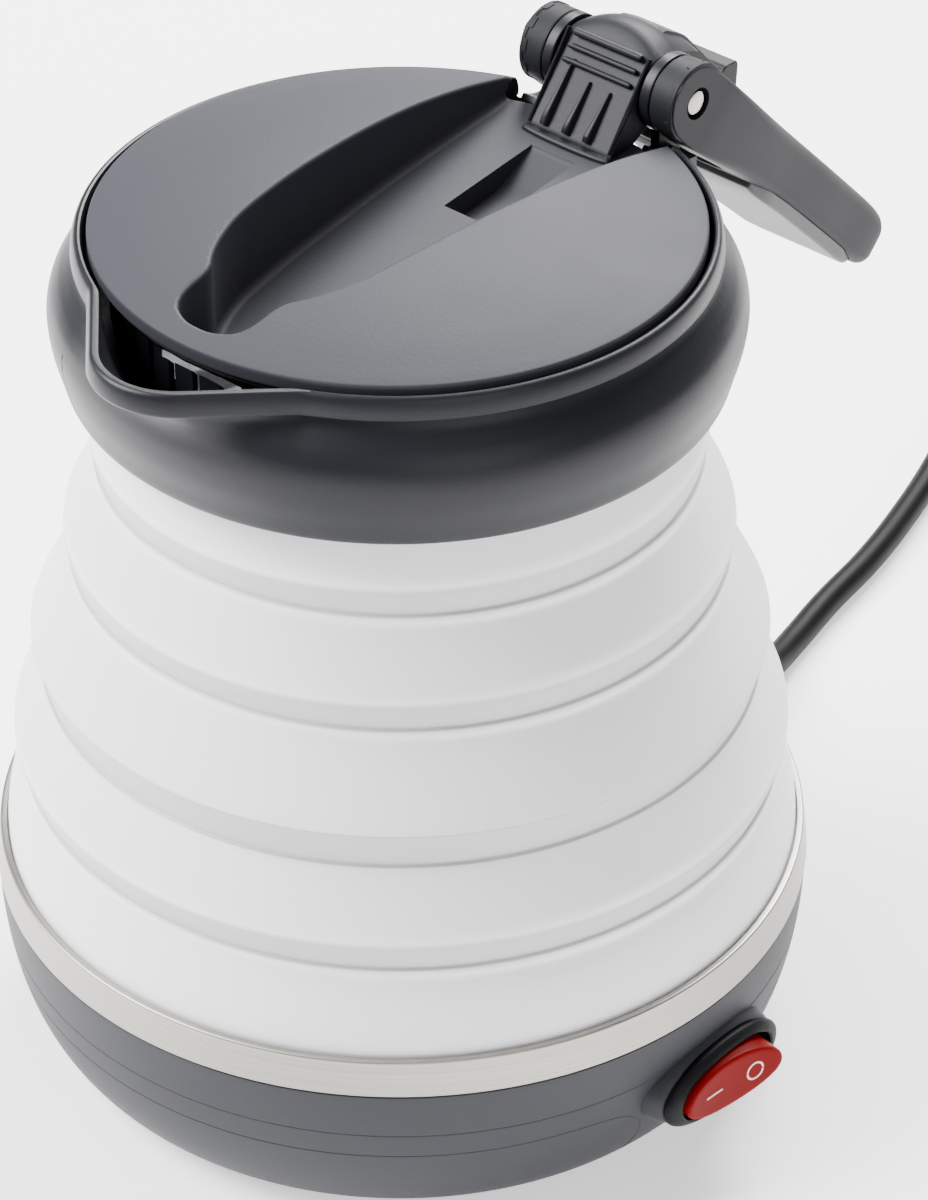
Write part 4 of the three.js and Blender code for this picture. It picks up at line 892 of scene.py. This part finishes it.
class KETTLE_OT_switch(KettleStep, bpy.types.Operator):
    """Models the oval switch housing, its red rocker and the two marks."""

    bl_idname = "kettle.switch"
    bl_label = "Rocker switch"

    def execute(self, context):
        back, floor = 64.7, 69.3
        rows = [
            (back, 13.0, 6.5), (65.0, 13.3, 6.8), (76.0, 13.3, 6.8), (76.0, 15.3, 7.3), (76.3, 15.5, 7.45),
            (76.8, 15.5, 7.45), (77.2, 15.3, 7.3), (77.6, 14.8, 7.0), (77.95, 14.1, 6.7), (78.2, 13.4, 6.3),
            (78.3, 12.8, 6.0), (78.15, 12.4, 5.7), (77.6, 12.3, 5.6), (floor, 12.3, 5.6),
        ]
        rings = [[(back, 0, SWITCH_HEIGHT)] * 96]
        for x, a, b in rows:
            power = 2.4 if a < 13.4 else 2.05
            rings.append([(x, p, SWITCH_HEIGHT + q) for p, q in oval(a, b, 96, power)])
        rings.append([(floor, 0, SWITCH_HEIGHT)] * 96)
        housing = lofted("switch_surround", rings)
        self.finish(housing, "base", "black_plastic", "switch_housing", smooth=30)
        centre = Matrix.Translation(Vector((74.9, 0, SWITCH_HEIGHT)) * MM)
        turn = centre @ Matrix.Rotation(math.radians(-8), 4, "Z")
        face, dish, half_a, half_b = 5.2, 62.8, 11.5, 5.4

        def dished(y):
            """The rocker's hollow face at a place along it."""
            return face + dish - math.sqrt(dish * dish - y * y)

        def rim(inset, share=1):
            """The rocker's outline, inset and then shrunk."""
            return oval((half_a - inset) * share, (half_b - inset) * share, 96, 2.05)

        rings = [[(-2.0, 0, 0)] * 96]
        rings += [[(x, p, q) for p, q in rim(0)] for x in (-2.0, 3.4)]
        for drop, inset in ((0.75, 0), (0.4, 0.08), (0.15, 0.28), (0.03, 0.6), (0, 0.95)):
            rings.append([(dished(p) - drop, p, q) for p, q in rim(inset)])
        for share in (0.8, 0.6, 0.4, 0.2):
            rings.append([(dished(p), p, q) for p, q in rim(0.95, share)])
        rings.append([(dished(0), 0, 0)] * 96)
        rocker = moved(lofted("rocker", rings), turn)
        self.finish(rocker, "rocker", "red_plastic", "switch_rocker", smooth=35)
        loop = [(5.2 + 1.75 * math.sin(t), 1.8 * math.cos(t)) for t in (i * math.tau / 48 for i in range(48))]
        bar = [(-6.7 + i * 0.4, 0) for i in range(11)]
        marks = [
            tube(name, [(dished(y) - 0.162, y, z) for y, z in path], 0.27, 12, closed)
            for name, path, closed in (("mark_off", loop, True), ("mark_on", bar, False))
        ]
        marks = moved(joined("rocker_marks", *marks), turn)
        white = paint("white mark", (0.8, 0.62, 0.62))
        self.finish(marks, "rocker", "red_plastic", smooth=40, material=white)
        return {"FINISHED"}


class KETTLE_OT_relief(KettleStep, bpy.types.Operator):
    """Models the ribbed boot where the cord leaves the base."""

    bl_idname = "kettle.relief"
    bl_label = "Strain relief"

    def execute(self, context):
        stand = bowl_radius(19) + 0.3 - RELIEF_FACE
        end = stand + 2
        rows = [(0, -8, 0), (5.2, -8, 0.3), (5.2, stand, 0), (7, stand, 0.3), (7, end, 0.5), (5.2, end, 0.3)]
        pitch = (18 - end) / 4.5
        for i in range(4):
            at = end + pitch * (i + 0.5)
            radius = 5.2 - 1.1 * (i + 0.5) / 4
            rows += [(radius, at, 0.15), (radius - 0.7, at + pitch / 5, 0.15)]
            rows += [(radius - 0.7, at + pitch * 2 / 5, 0.15), (radius, at + pitch * 3 / 5, 0.15)]
        rows += [(4.1, 18, 0.6), (0, 18, 0)]
        rows = softened(rows, closed=False, steps=3)
        boot = spun("relief", rows, 64, "Y", (0, RELIEF_FACE, RELIEF_Z))
        self.finish(boot, "base", "black_rubber", "strain_relief", smooth=40)
        return {"FINISHED"}


class KETTLE_OT_bellows(KettleStep, bpy.types.Operator):
    """Models the silicone bellows with soft creases, in the three parts that fold apart."""

    bl_idname = "kettle.bellows"
    bl_label = "Folding silicone body"

    def execute(self, context):
        wall, soft, fold = 2.0, sizes().crease_round / MM, 0.55
        bottom, top = crease(1, 0), crease(0, 1)
        first_in, first_out = crease(0.8402, 0.1646), crease(0.9224, 0.2333)
        second_in, second_out = crease(0.6484, 0.3656), crease(0.7123, 0.4458)
        third_in, third_out = crease(0.3699, 0.6156), crease(0.4201, 0.6792)
        fourth_in, fourth_out = crease(0.1324, 0.8208), crease(0.1735, 0.8833)

        def shoulder(at):
            """The lip where a band's top edge stands proud of the strip above it."""
            r, z = at
            return [
                (r + 0.1, z - 1.7, 0.8), (r + 0.35, z - 0.55, 0.5), (r + 0.05, z + 0.25, 0.5),
                (r - fold, z + 0.5, 0.3),
            ]

        def inner(*rows):
            """The wall's inner side behind some creases."""
            return [(r - wall, z, soft * 0.6) for r, z in rows]

        foot = 39.9
        lower = [
            (69.1, foot, 0.2), (73.1, foot, 0.2), (73.1, foot + 1.8, 0.3), (bottom[0], foot + 2.1, 0.2),
            (bottom[0], 46, 5), (bottom[0] - 1.7, 53.5, 4),
            *shoulder(first_in), (*first_out, soft), (second_in[0], second_in[1], 0),
            (second_in[0] - wall, second_in[1], 0), *inner(first_out, first_in, bottom),
        ]
        piece = spun("bellows_low", softened(lower, steps=5), 256)
        fold_painted_shade(piece, (first_in[1], first_out[1]))
        self.finish(piece, "base", "white_silicone", "bellows_lower", smooth=60)
        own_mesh(piece)
        r, z = second_in
        ring = [
            (r, z, 0.25), (r - 0.15, z + 0.2, 0.2), (r - fold, z + 0.5, 0.35), (*second_out, 0),
            (second_out[0] - wall, second_out[1], 0), (r - wall, z, 0),
        ]
        piece = spun("bellows_mid", softened(ring, steps=5), 256)
        # Painted shade over the whole middle ring, which is the strip of the second fold.
        fold_painted_shade(piece, (second_in[1] - 3, second_out[1] + 3))
        self.finish(piece, "fold_ring", "white_silicone", "bellows_ring", smooth=60)
        r, z = second_out
        flange = 142.9
        upper = [
            (r, z, 0.2), (r + 0.02, z + 0.5, soft * 0.6),
            *shoulder(third_in), (*third_out, soft),
            *shoulder(fourth_in), (*fourth_out, soft),
            (top[0], top[1], 0.5), (top[0], flange - 2.0, 0),
            (54.9, flange - 2.0, 0.4), (54.9, flange + 0.4, 0.4),
            (48.0, flange + 0.4, 0.4), (top[0] - wall, top[1], 0.4),
            *inner(fourth_out, fourth_in, third_out, third_in), (r - wall, z, 0),
        ]
        piece = spun("bellows_high", softened(upper, steps=5), 256)
        fold_painted_shade(piece, (third_in[1], third_out[1]), (fourth_in[1], fourth_out[1]))
        self.finish(piece, "fold_ring", "white_silicone", "bellows_upper", smooth=60)
        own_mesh(piece)
        return {"FINISHED"}


class KETTLE_OT_collar(KettleStep, bpy.types.Operator):
    """Models the collar with its rounded belt, rim and spout, and the two hinge ears."""

    bl_idname = "kettle.collar"
    bl_label = "Collar and spout"

    def execute(self, context):
        outer = flowing([
            (0, 0.38, 0), (0.03, 0.54, 0), (0.142, 0.7, 0), (0.303, 0.92, 0), (0.453, 1, 0),
            (0.569, 0.88, 0.03), (0.652, 0.62, 0.17), (0.719, 0.3, 0.38), (0.779, 0.0, 0.6),
            (0.83, -0.16, 0.8),
        ], 5)
        lip = [
            (0.838, -0.1, 0.88), (0.843, 0.0, 0.95), (0.853, 0.07, 0.99), (0.875, 0.1, 1), (0.92, 0.08, 1),
            (0.955, 0.03, 1), (0.975, -0.015, 1), (0.988, -0.06, 1), (0.996, -0.12, 1), (1, -0.19, 1),
        ]
        inner = [
            (0.996, 1, 0.3), (0.985, 1, 0.1), (0.96, 0.985, 0), (0.9, 0.88, 0), (0.82, 0.72, 0),
            (0.697, 0.5, 0), (0.55, 0.24, 0), (0.46, 0.08, 0), (0.397, 0, 0),
        ]
        fan = math.radians(36)
        angles = [(2 * i / 120 - 1) * fan for i in range(120)]
        angles += [fan + i / 200 * (math.tau - 2 * fan) for i in range(200)]
        bore, shelf = RIM_RADIUS - 1.6, 45.5

        def level(high):
            """The height of a share of the collar."""
            return COLLAR_BOTTOM + high * COLLAR_HEIGHT

        rings = [[
            (RIM_RADIUS + belly * 5 + spout * self.grow(a, SPOUT_NOSE, RIM_RADIUS), a, level(high))
            for a in angles
        ] for high, belly, spout in outer + lip]
        rings += [[
            (bore + more + spout * self.grow(a, SPOUT_NOSE - 2, bore), a, level(high)) for a in angles
        ] for high, spout, more in inner]
        seat = COLLAR_BOTTOM + 4.2
        for r, z in (
            (bore, seat + 3.4), (shelf, seat + 3.4), (shelf, seat), (55.6, seat), (55.6, COLLAR_BOTTOM),
        ):
            rings.append([(r, a, z) for a in angles])
        rings = [[(r * math.sin(a), -r * math.cos(a), z) for r, a, z in ring] for ring in rings]
        collar = lofted("collar_rim", rings, closed=True)
        turn = math.radians(-90 - 27)
        seam = [
            ((r + 0.1) * math.cos(turn), (r + 0.1) * math.sin(turn), level(high)) for high, r in
            ((-0.03, 56.7), (0.03, 57.7), (0.142, 58.5), (0.303, 59.6), (0.453, 60), (0.52, 59.8))
        ]
        boolean(collar, tube("seam", seam, 0.26, 6))
        boolean(collar, rod("saddle", SADDLE_RADIUS, -SADDLE_HALF, SADDLE_HALF))
        bevelled(collar, 0.25, 2, 42)
        parts = [collar]
        neck = [
            (54.7, HINGE_Z, 0), (54.7, 162.35, 1), (55.2, 153.6, 0.3), (55.8, 153.6, 0.3), (60.5, 158.85, 1),
            (64.78, 168.6, 0.8), (HINGE_Y, HINGE_Z, 0),
        ]
        for low, high in ((-EAR_OUTSIDE, -EAR_INSIDE), (EAR_INSIDE, EAR_OUTSIDE)):
            barrel = [(0, low, 0), (7.2, low, 0.35), (7.2, high, 0.35), (0, high, 0)]
            parts.append(spun("ear", softened(barrel, closed=False, steps=3), 72, "X", HINGE))
            parts.append(bevelled(prism("neck", softened(neck), low, high), 0.25, 2, 40))
        cradle = [(HINGE_Y, 157.0), (51.3, 157.0), (51.3, 160.6)]
        for angle in (math.radians(d) for d in range(-122, -89, 4)):
            cradle.append((HINGE_Y + 10.2 * math.cos(angle), HINGE_Z + 10.2 * math.sin(angle)))
        for low, high in ((-17.9, -EAR_INSIDE), (EAR_INSIDE, 17.9)):
            parts.append(bevelled(prism("cradle", cradle, low, high), 0.2, 2, 40))
        collar = joined("collar_body", *parts)
        self.finish(collar, "collar", "collar_grey", "collar_ring", smooth=32)
        clamp = copy_of("bellows_clamp", "made_clamp")
        self.finish(clamp, "collar", "collar_grey", "bellows_clamp")
        half = [(0, PIN_END), (1.8, PIN_END), (2.15, PIN_END - 0.15), (2.3, PIN_END - 0.5)]
        pin = spun("pin", [(r, -x) for r, x in half] + half[::-1], 48, "X", HINGE)
        self.finish(pin, "collar", "plated_steel", "hinge_pin", smooth=40)
        return {"FINISHED"}

    @staticmethod
    def grow(angle, nose, rim):
        """How far the spout stands out of the rim, at an angle from its own axis."""
        away = abs(angle) if angle <= math.pi else math.tau - angle
        side = math.pi / 4
        centre = SPOUT_REACH - SPOUT_NOSE
        tangent = math.atan2(nose * math.sin(side), centre + nose * math.cos(side))
        if away < tangent:
            radius = centre * math.cos(away) + math.sqrt(nose ** 2 - (centre * math.sin(away)) ** 2)
        else:
            radius = (centre * math.cos(side) + nose) / math.cos(min(away, math.radians(80)) - side)
            if away > side:
                radius = min(radius, rim * 0.9 - 10 * (away - side))
        out = radius - rim
        return 0.5 * (out + math.sqrt(out * out + 0.12))


DOME = flowing([(0, 1), (0.2, 0.97), (0.4, 0.87), (0.6, 0.69), (0.8, 0.41), (0.95, 0.12), (1.0, 0.0)], 8)


def dome(x, y):
    """Height of the lid's top over a place."""
    return LID_TOP + DOME_RISE * between(DOME, min(math.hypot(x, y) / LID_RADIUS, 1.0))[0]


def recess_plan(count=160):
    """The recess's outline on the lid: from the rear right round the nose to the rear left."""
    rows = [
        (0.0, 48.35), (2.2, 48.2), (3.9, 47.6), (6.04, 46.5), (7.3, 44.5), (7.78, 42.0), (7.87, 39.0),
        (8.6, 36.25), (10.6, 33.5), (12.6, 29.5), (14.5, 23.5), (15.7, 15.0), (16.8, 2.0), (18.0, -23.0),
        (18.3, -58.0),
    ]
    side = flowing(rows, 12)
    whole = [(x, -y) for x, y in side[::-1]] + [(-x, -y) for x, y in side[1:]]
    lengths = [0.0]
    for a, b in zip(whole, whole[1:]):
        lengths.append(lengths[-1] + math.dist(a, b))
    points, k = [], 0
    for i in range(count):
        at = lengths[-1] * i / (count - 1)
        while k < len(lengths) - 2 and lengths[k + 1] < at:
            k += 1
        t = (at - lengths[k]) / (lengths[k + 1] - lengths[k])
        points.append(tuple(a + t * (b - a) for a, b in zip(whole[k], whole[k + 1])))
    return points


SCOOP = flowing([
    (0.55, 0), (0.62, 0.05), (0.7, 0.5), (0.8, 2.2), (0.88, 4.8), (0.95, 8.4), (1.0, 12.2), (1.1, 20),
], 8)


def scoop(y):
    """Height of the recess floor, rising into the nose."""
    return recess_floor(y) + between(SCOOP, max(SCOOP[0][0], -y / 50.0))[0]


def recess_body(name, grow=0.0):
    """The recess as a solid with rounded floor edges and a rounded rim, grown for the wall round it."""
    plan = recess_plan()
    normals = []
    for a, b in zip(plan[:1] + plan[:-1], plan[1:] + plan[-1:]):
        along = Vector((b[0] - a[0], b[1] - a[1])).normalized()
        normals.append((-along.y, along.x))
    shares = [min(1.0, max(0.05, (dome(x, y) - scoop(y)) / 6.0)) for x, y in plan]
    low = [(1.0 if grow else 1.5) * share for share in shares]
    high = [0.9 * share for share in shares]

    def ring(offsets, height):
        """The outline moved outwards, with the height of each place."""
        points = []
        for i, ((x, y), (nx, ny), offset) in enumerate(zip(plan, normals, offsets)):
            out = grow + offset
            px, py = x + nx * out, y + ny * out
            points.append((px, py, height(i, px, py)))
        return points

    base = ring([-r for r in low], lambda i, x, y: scoop(y) - grow)
    rings = [[(x * share, y, z) for x, y, z in base] for share in (0.0, 0.25, 0.5, 0.75, 0.92)]
    for angle in range(0, 91, 15):
        s, c = math.sin(math.radians(angle)), math.cos(math.radians(angle))
        rings.append(ring([-r * (1 - s) for r in low], lambda i, x, y: scoop(y) - grow + low[i] * (1 - c)))
    if grow:
        edge = ring([0] * len(plan), lambda i, x, y: 0)
        for share in (1, 0.75, 0.5, 0.25, 0.0):
            rings.append([(x * share, y, dome(x * share, y) - 1.0) for x, y, z in edge])
        return lofted(name, rings)
    for angle in (0, 14, 28, 42, 56, 70, 80):
        s, c = math.sin(math.radians(angle)), math.cos(math.radians(angle))
        rings.append(ring([r * (1 - c) for r in high], lambda i, x, y: dome(x, y) - high[i] * (1 - s)))
    edge = ring([r * 1.02 for r in high], lambda i, x, y: dome(x, y) + 3.0)
    rings += [[(x * share, y, z) for x, y, z in edge] for share in (1, 0.5, 0.0)]
    return lofted(name, rings)


class KETTLE_OT_lid(KettleStep, bpy.types.Operator):
    """Models the domed lid with its scooped recess, the pocket, the strainer and the seal."""

    bl_idname = "kettle.lid"
    bl_label = "Lid"

    def execute(self, context):
        inside, skirt, foot = 44.9, 46.4, 160.3
        under = [(r * LID_RADIUS, LID_TOP + h * DOME_RISE - 2.4, 0) for r, h in DOME[:-1:2]]
        rows = [row for row in under if row[0] < inside] + [
            (inside, LID_TOP - 1.2, 0), (inside, foot, 0.3), (skirt, foot, 0.3), (skirt, LID_BOTTOM, 0.2),
            (LID_RADIUS, LID_BOTTOM, 0.6), (LID_RADIUS, LID_TOP + 0.05, 0.75),
        ]
        rows += [(r * LID_RADIUS, LID_TOP + h * DOME_RISE, 0) for r, h in DOME[:-4][::-1]]
        shell = spun("lid_shell", softened(rows, closed=False, steps=4), 224, closed=False)
        trim = rod("trim", 51.9, 140, 190, 160, "Z", (0, 0, 0))
        lining = boolean(recess_body("lining", 2.2), trim, "INTERSECT")
        rear, middle, front = (recess_floor(y) for y in (17.3, 31, 41))
        wall = prism("pocket_wall", [
            (15.7, rear + 1), (15.7, rear - 6.2), (31, middle - 6.2), (42.6, front - 1), (42.6, front + 1),
        ], -6.6, 6.6)
        boolean(shell, boolean(lining, wall, "UNION"), "UNION")
        boolean(shell, recess_body("recess"))
        pocket = softened([
            (17.3, rear + 9, 0), (17.3, rear - 4.6, 0.8), (31, middle - 4.6, 3), (40.5, front - 0.4, 1),
            (41.5, front + 9, 0),
        ], steps=6)
        boolean(shell, prism("pocket", pocket, -5, 5))
        boolean(shell, rod("clear", SADDLE_RADIUS - 1, -SADDLE_HALF - 0.5, SADDLE_HALF + 0.5))
        bevelled(shell, 0.3, 2, 50)
        self.finish(shell, "lid", "lid_grey", "lid_cover", smooth=32)
        slots = node_slots()
        for node, name in (("lid_strainer", "strainer"), ("lid_seal", "seal")):
            piece = bevelled(copy_of(node, name), 0.2, 2, 50)
            if name == "strainer":
                boolean(piece, rod("outlet", 44.5, 140, 153, 96, "Z", (0, 0, 0)))
            self.finish(piece, "lid", slots[node], node, smooth=40)
        return {"FINISHED"}


class KETTLE_OT_lever(KettleStep, bpy.types.Operator):
    """Models the thumb lever with its grip ribs, fins, foot and rear tab."""

    bl_idname = "kettle.lever"
    bl_label = "Thumb lever"

    def execute(self, context):
        foot = recess_floor(LEVER_FOOT_Y)
        top, head_y = HINGE_Z + 9.3, HINGE_Y - 1.6
        head_z = top - 1.1
        lean = (head_y - LEVER_FOOT_Y) / (head_z - foot)
        body = [
            (LEVER_FOOT_Y - 0.6, foot - 1.2, 0), (LEVER_FOOT_Y, foot + 0.9, 0.6),
            (head_y - 0.35, head_z - 0.7, 0.8), (head_y + 1.6, top - 0.25, 1.2), (head_y + 3.6, top, 1.5),
            (head_y + 6.2, top - 0.6, 2), (head_y + 8, top - 1.87, 1.5), (69.8, 175.56, 2),
            (66.2, 165.9, 1.2), (61.9, 164.6, 1), (HINGE_Y, 163.9, 1), (54.0, 165.0, 1),
            (50.4, foot + 0.7, 1), (50.4, foot - 1.2, 0),
        ]
        outline = softened(body, steps=5)
        rings = []
        for i in range(17):
            x = -LEVER_HALF + 2 * LEVER_HALF * i / 16
            keep = 1 - 0.3 * (abs(x) / LEVER_HALF) ** 2.2
            ring = []
            for y, z in outline:
                drop = max(0.0, z - 171.5) * (1 - keep)
                ring.append((x, y - drop * lean, z - drop))
            rings.append(ring)
        head = bevelled(lofted("head", rings), 0.45, 3, 60)
        tab = [
            (61.5, top - 1.98, 0), (64.7, top - 1.98, 0.8), (69.8, 175.56, 1.5), (81.1, 163.3, 0.8),
            (81.8, 164.2, 0.7), (84.9, 164.2, 0.7), (85.6, 163.5, 0.5), (85.25, 158.2, 0.8), (78.7, 159.4, 2),
            (66.2, 166.16, 1), (61.5, 168.6, 0),
        ]
        tab = bevelled(prism("tab", softened(tab, steps=4), -5.2, 5.2), 0.4, 3, 50)
        parts = [head, tab]

        def on_face(x, rise, out=0.0):
            """A place on the lever's leaning face, at a height above its foot."""
            return (x, LEVER_FOOT_Y + rise * lean - out, foot + 0.9 + rise + out * 0.5)

        faced = head_z - foot - 1.6
        for i in range(3):
            rise = faced - 0.9 - i * 2.1
            ends = [on_face(x, rise, 0.1) for x in (-7.7, -7.2, -3.6, 0, 3.6, 7.2, 7.7)]
            parts.append(rounded_bar("grip", ends, 0.55 if i else 0.75))
        for share, height in ((-0.62, 0.66), (-0.1, 0.52), (0.4, 0.5)):
            x, reach = share * LEVER_HALF, height * faced
            rows = []
            for k in range(9):
                t = k / 8
                half = 1.35 * (1 - t) + 0.22 * t
                deep = (1.35 * (1 - t) + 0.35 * t) * (0.55 if k == 0 else 1)
                cx, cy, cz = on_face(x + 0.5 * t, 0.6 + reach * t)
                rows.append([
                    (cx + a * half, cy - b * deep, cz + b * deep * 0.35) for a, b in
                    ((-1.15, -1.4), (-0.55, 0.75), (-0.3, 1.0), (0.3, 1.0), (0.55, 0.75), (1.15, -1.4))
                ])
            parts.append(bevelled(lofted("fin", rows), 0.12, 2, 30))
        spine = [on_face(0, rise) for rise in (0.2, faced * 0.25, faced * 0.5, faced * 0.75, faced - 0.6)]
        for side in (-1, 1):
            parts.append(lofted("edge", [[
                (side * (9.15 + 0.35 * a), y - 0.35 * b, z + 0.2 * b)
                for a, b in ((-1, -1), (-0.6, 0.9), (0, 1.3), (0.6, 0.9), (1, -1))
            ] for x, y, z in spine]))
        bow = [math.radians(d) for d in range(-80, 81, 8)]
        plan = [(-9.9, 46), (-9.9, 43.4)] + [(9.9 * math.sin(a), 43.4 - 0.9 * math.cos(a)) for a in bow]
        plan += [(9.9, 43.4), (9.9, 46)]
        parts.append(lofted("foot", [[
            (x * (1 - inset / 12), y + inset * (1 if y < 45 else 0), foot + z + (46 - y) * 0.02)
            for x, y in plan
        ] for z, inset in ((-1.5, 0), (0.1, 0), (0.4, 0.15), (0.65, 0.5), (0.75, 1.0))]))
        lever = joined("lid_lever", *parts)
        # The lever is lid plastic; its darker copy is painted shade.
        self.finish(lever, "lid", "lid_grey", smooth=35, material=finish_of("lever"))
        return {"FINISHED"}


def rounded_bar(name, path, radius):
    """A bar with rounded ends along a straight path."""
    ends = [path[0], *path, path[-1]]
    shares = [0.02, 0.7] + [1] * (len(path) - 2) + [0.7, 0.02]
    return lofted(name, [[
        (x, y + share * radius * math.cos(a), z + share * radius * math.sin(a))
        for a in (k * math.tau / 16 for k in range(16))
    ] for (x, y, z), share in zip(ends, shares)])


class KETTLE_OT_handle(KettleStep, bpy.types.Operator):
    """Models the forked handle with its cheek rings and the cover on its inner side."""

    bl_idname = "kettle.handle"
    bl_label = "Handle"

    ROWS = (
        (-0.076, 1, 0.1, 0.1), (-0.07, 1, 0.36, 0.35), (-0.06, 1, 0.6, 0.58), (-0.045, 1, 0.8, 0.78),
        (-0.022, 1, 0.94, 0.93), (0.0, 1, 0.985, 0.98), (0.045, 1, 1, 1), (0.125, 1, 1, 0.94),
        (0.3, 0.955, 1, 0.72), (0.52, 0.865, 1, 0.63), (0.75, 0.755, 1, 0.61), (0.88, 0.695, 0.97, 0.62),
        (0.945, 0.625, 0.86, 0.57), (0.983, 0.5, 0.6, 0.42), (1, 0.34, 0.24, 0.18),
    )

    def execute(self, context):
        place = Matrix.Translation(Vector(HINGE) * MM) @ Matrix.Rotation(-HANDLE_SLOPE, 4, "X")
        frame_piece = lofted("handle_shell", [self.section(
            s * HANDLE_LENGTH, half * HANDLE_HALF, rise * HANDLE_RISE, drop * HANDLE_DROP,
            0.5 + 2.3 * smoothstep(s, 0.02, 0.4),
        ) for s, half, rise, drop in flowing(self.ROWS, 7)])
        gap, shoulder = EAR_INSIDE, 12.45
        fork = [(-gap, -12), (gap, -12), (gap, 28), (9.4, 30.2), (7.1, 31)]
        fork += [(-7.1, 31), (-9.4, 30.2), (-gap, 28)]
        root = [(-shoulder, -12), (shoulder, -12), (shoulder, 14.5), (-shoulder, 14.5)]
        for outline in (fork, root):
            boolean(frame_piece, prism("fork", outline, -15, 15, "Z"))
        boolean(frame_piece, rod("bore", 3.0, -20, 20, 48, "X", (0, 0, 0)))
        boolean(frame_piece, self.cover("seat", 0.75, 1.6, 7.1))
        bevelled(frame_piece, 0.3, 2, 40)
        parts = [frame_piece]
        for side in (-1, 1):
            rows = [(3.0, shoulder, 0), (7.15, shoulder, 0.4), (7.15, 17.45, 0.15), (3.0, 17.45, 0)]
            rows = [(r, side * x, edge) for r, x, edge in rows]
            parts += [spun("knuckle", softened(rows, steps=3), 96, "X"), self.cheek_ring(side)]
        shell = moved(joined("handle_body", *parts), place)
        self.finish(shell, "handle", "handle_grey", "handle_frame", smooth=32)
        cover = moved(bevelled(self.cover("handle_inlay", 1.0, 1.3, 1.7), 0.35, 3, 40), place)
        self.finish(cover, "handle", "cover_grey", "handle_cover", smooth=40)
        return {"FINISHED"}

    @staticmethod
    def section(along, half, rise, drop, corner):
        """A rounded rectangle across the handle."""
        corner = min(corner, (rise + drop) * 0.42, half * 0.5)
        points = []
        for sx, sz, quarter in ((1, -1, -1), (1, 1, 0), (-1, 1, 1), (-1, -1, 2)):
            for i in range(9):
                a = quarter * math.pi / 2 + i / 8 * math.pi / 2
                hub_z = rise - corner if sz > 0 else corner - drop
                points.append((
                    sx * (half - corner) + corner * math.cos(a), along, hub_z + corner * math.sin(a)
                ))
        return points

    def cover(self, name, margin, sink, crown):
        """The strip that the fingers hold, let into the inner side."""
        rings = []
        for i in range(25):
            share = 0.36 + (0.9 - 0.36) * i / 24
            half, _, drop = between(self.ROWS, share)
            near = min(1.0, min(i, 24 - i) / 3)
            ease = min(1.0, 0.55 + 0.45 * math.sqrt(near))
            rings.append(self.section(
                share * HANDLE_LENGTH, (half * HANDLE_HALF - margin) * (0.9 + 0.1 * near),
                sink - drop * HANDLE_DROP, drop * HANDLE_DROP + crown * ease, 0.8,
            ))
        return lofted(name, rings)

    @staticmethod
    def cheek_ring(side):
        """The toothed ring line between the handle's barrel and its flat cheek."""
        teeth, inside, outside = 10, 15.9, 17.4
        rings = []
        for a in (k / 240 * math.tau for k in range(240)):
            start = inside + (0.7 if math.sin(a * teeth) > 0 else 0)
            rings.append([(side * x, r * math.cos(a), r * math.sin(a)) for x, r in (
                (start, 6.8), (start, 7.2), (start + 0.12, 7.3), (outside - 0.12, 7.3), (outside, 7.2),
                (outside, 6.8),
            )])
        return lofted("cheek", rings, closed=True)


class KETTLE_PT_panel(bpy.types.Panel):
    """Sizes, colours and steps of the kettle."""

    bl_idname = "KETTLE_PT_panel"
    bl_label = "Folding travel kettle"
    bl_space_type = "VIEW_3D"
    bl_region_type = "UI"
    bl_category = "Kettle"

    def draw(self, context):
        for settings in (colours(), sizes()):
            for name in settings.bl_rna.properties.keys():
                if name not in ("rna_type", "name"):
                    self.layout.prop(settings, name)
        for step in STEPS:
            self.layout.operator(step.bl_idname)


STEPS = (
    KETTLE_OT_stage, KETTLE_OT_cord, KETTLE_OT_base, KETTLE_OT_underside, KETTLE_OT_switch, KETTLE_OT_relief,
    KETTLE_OT_bellows, KETTLE_OT_collar, KETTLE_OT_lid, KETTLE_OT_lever, KETTLE_OT_handle,
)
CLASSES = (KettleColours, KettleSizes, *STEPS, KETTLE_PT_panel)


def register():
    """Makes the settings, operators and panel known to Blender."""
    for cls in CLASSES:
        bpy.utils.register_class(cls)
    bpy.types.Scene.kettle_colours = bpy.props.PointerProperty(type=KettleColours)
    bpy.types.Scene.kettle_sizes = bpy.props.PointerProperty(type=KettleSizes)


def unregister():
    """Takes them out again."""
    del bpy.types.Scene.kettle_sizes
    del bpy.types.Scene.kettle_colours
    for cls in reversed(CLASSES):
        bpy.utils.unregister_class(cls)


def main():
    """Runs every step."""
    register()
    for step in STEPS:
        group, name = step.bl_idname.split(".")
        getattr(getattr(bpy.ops, group), name)()


if __name__ == "__main__":
    main()
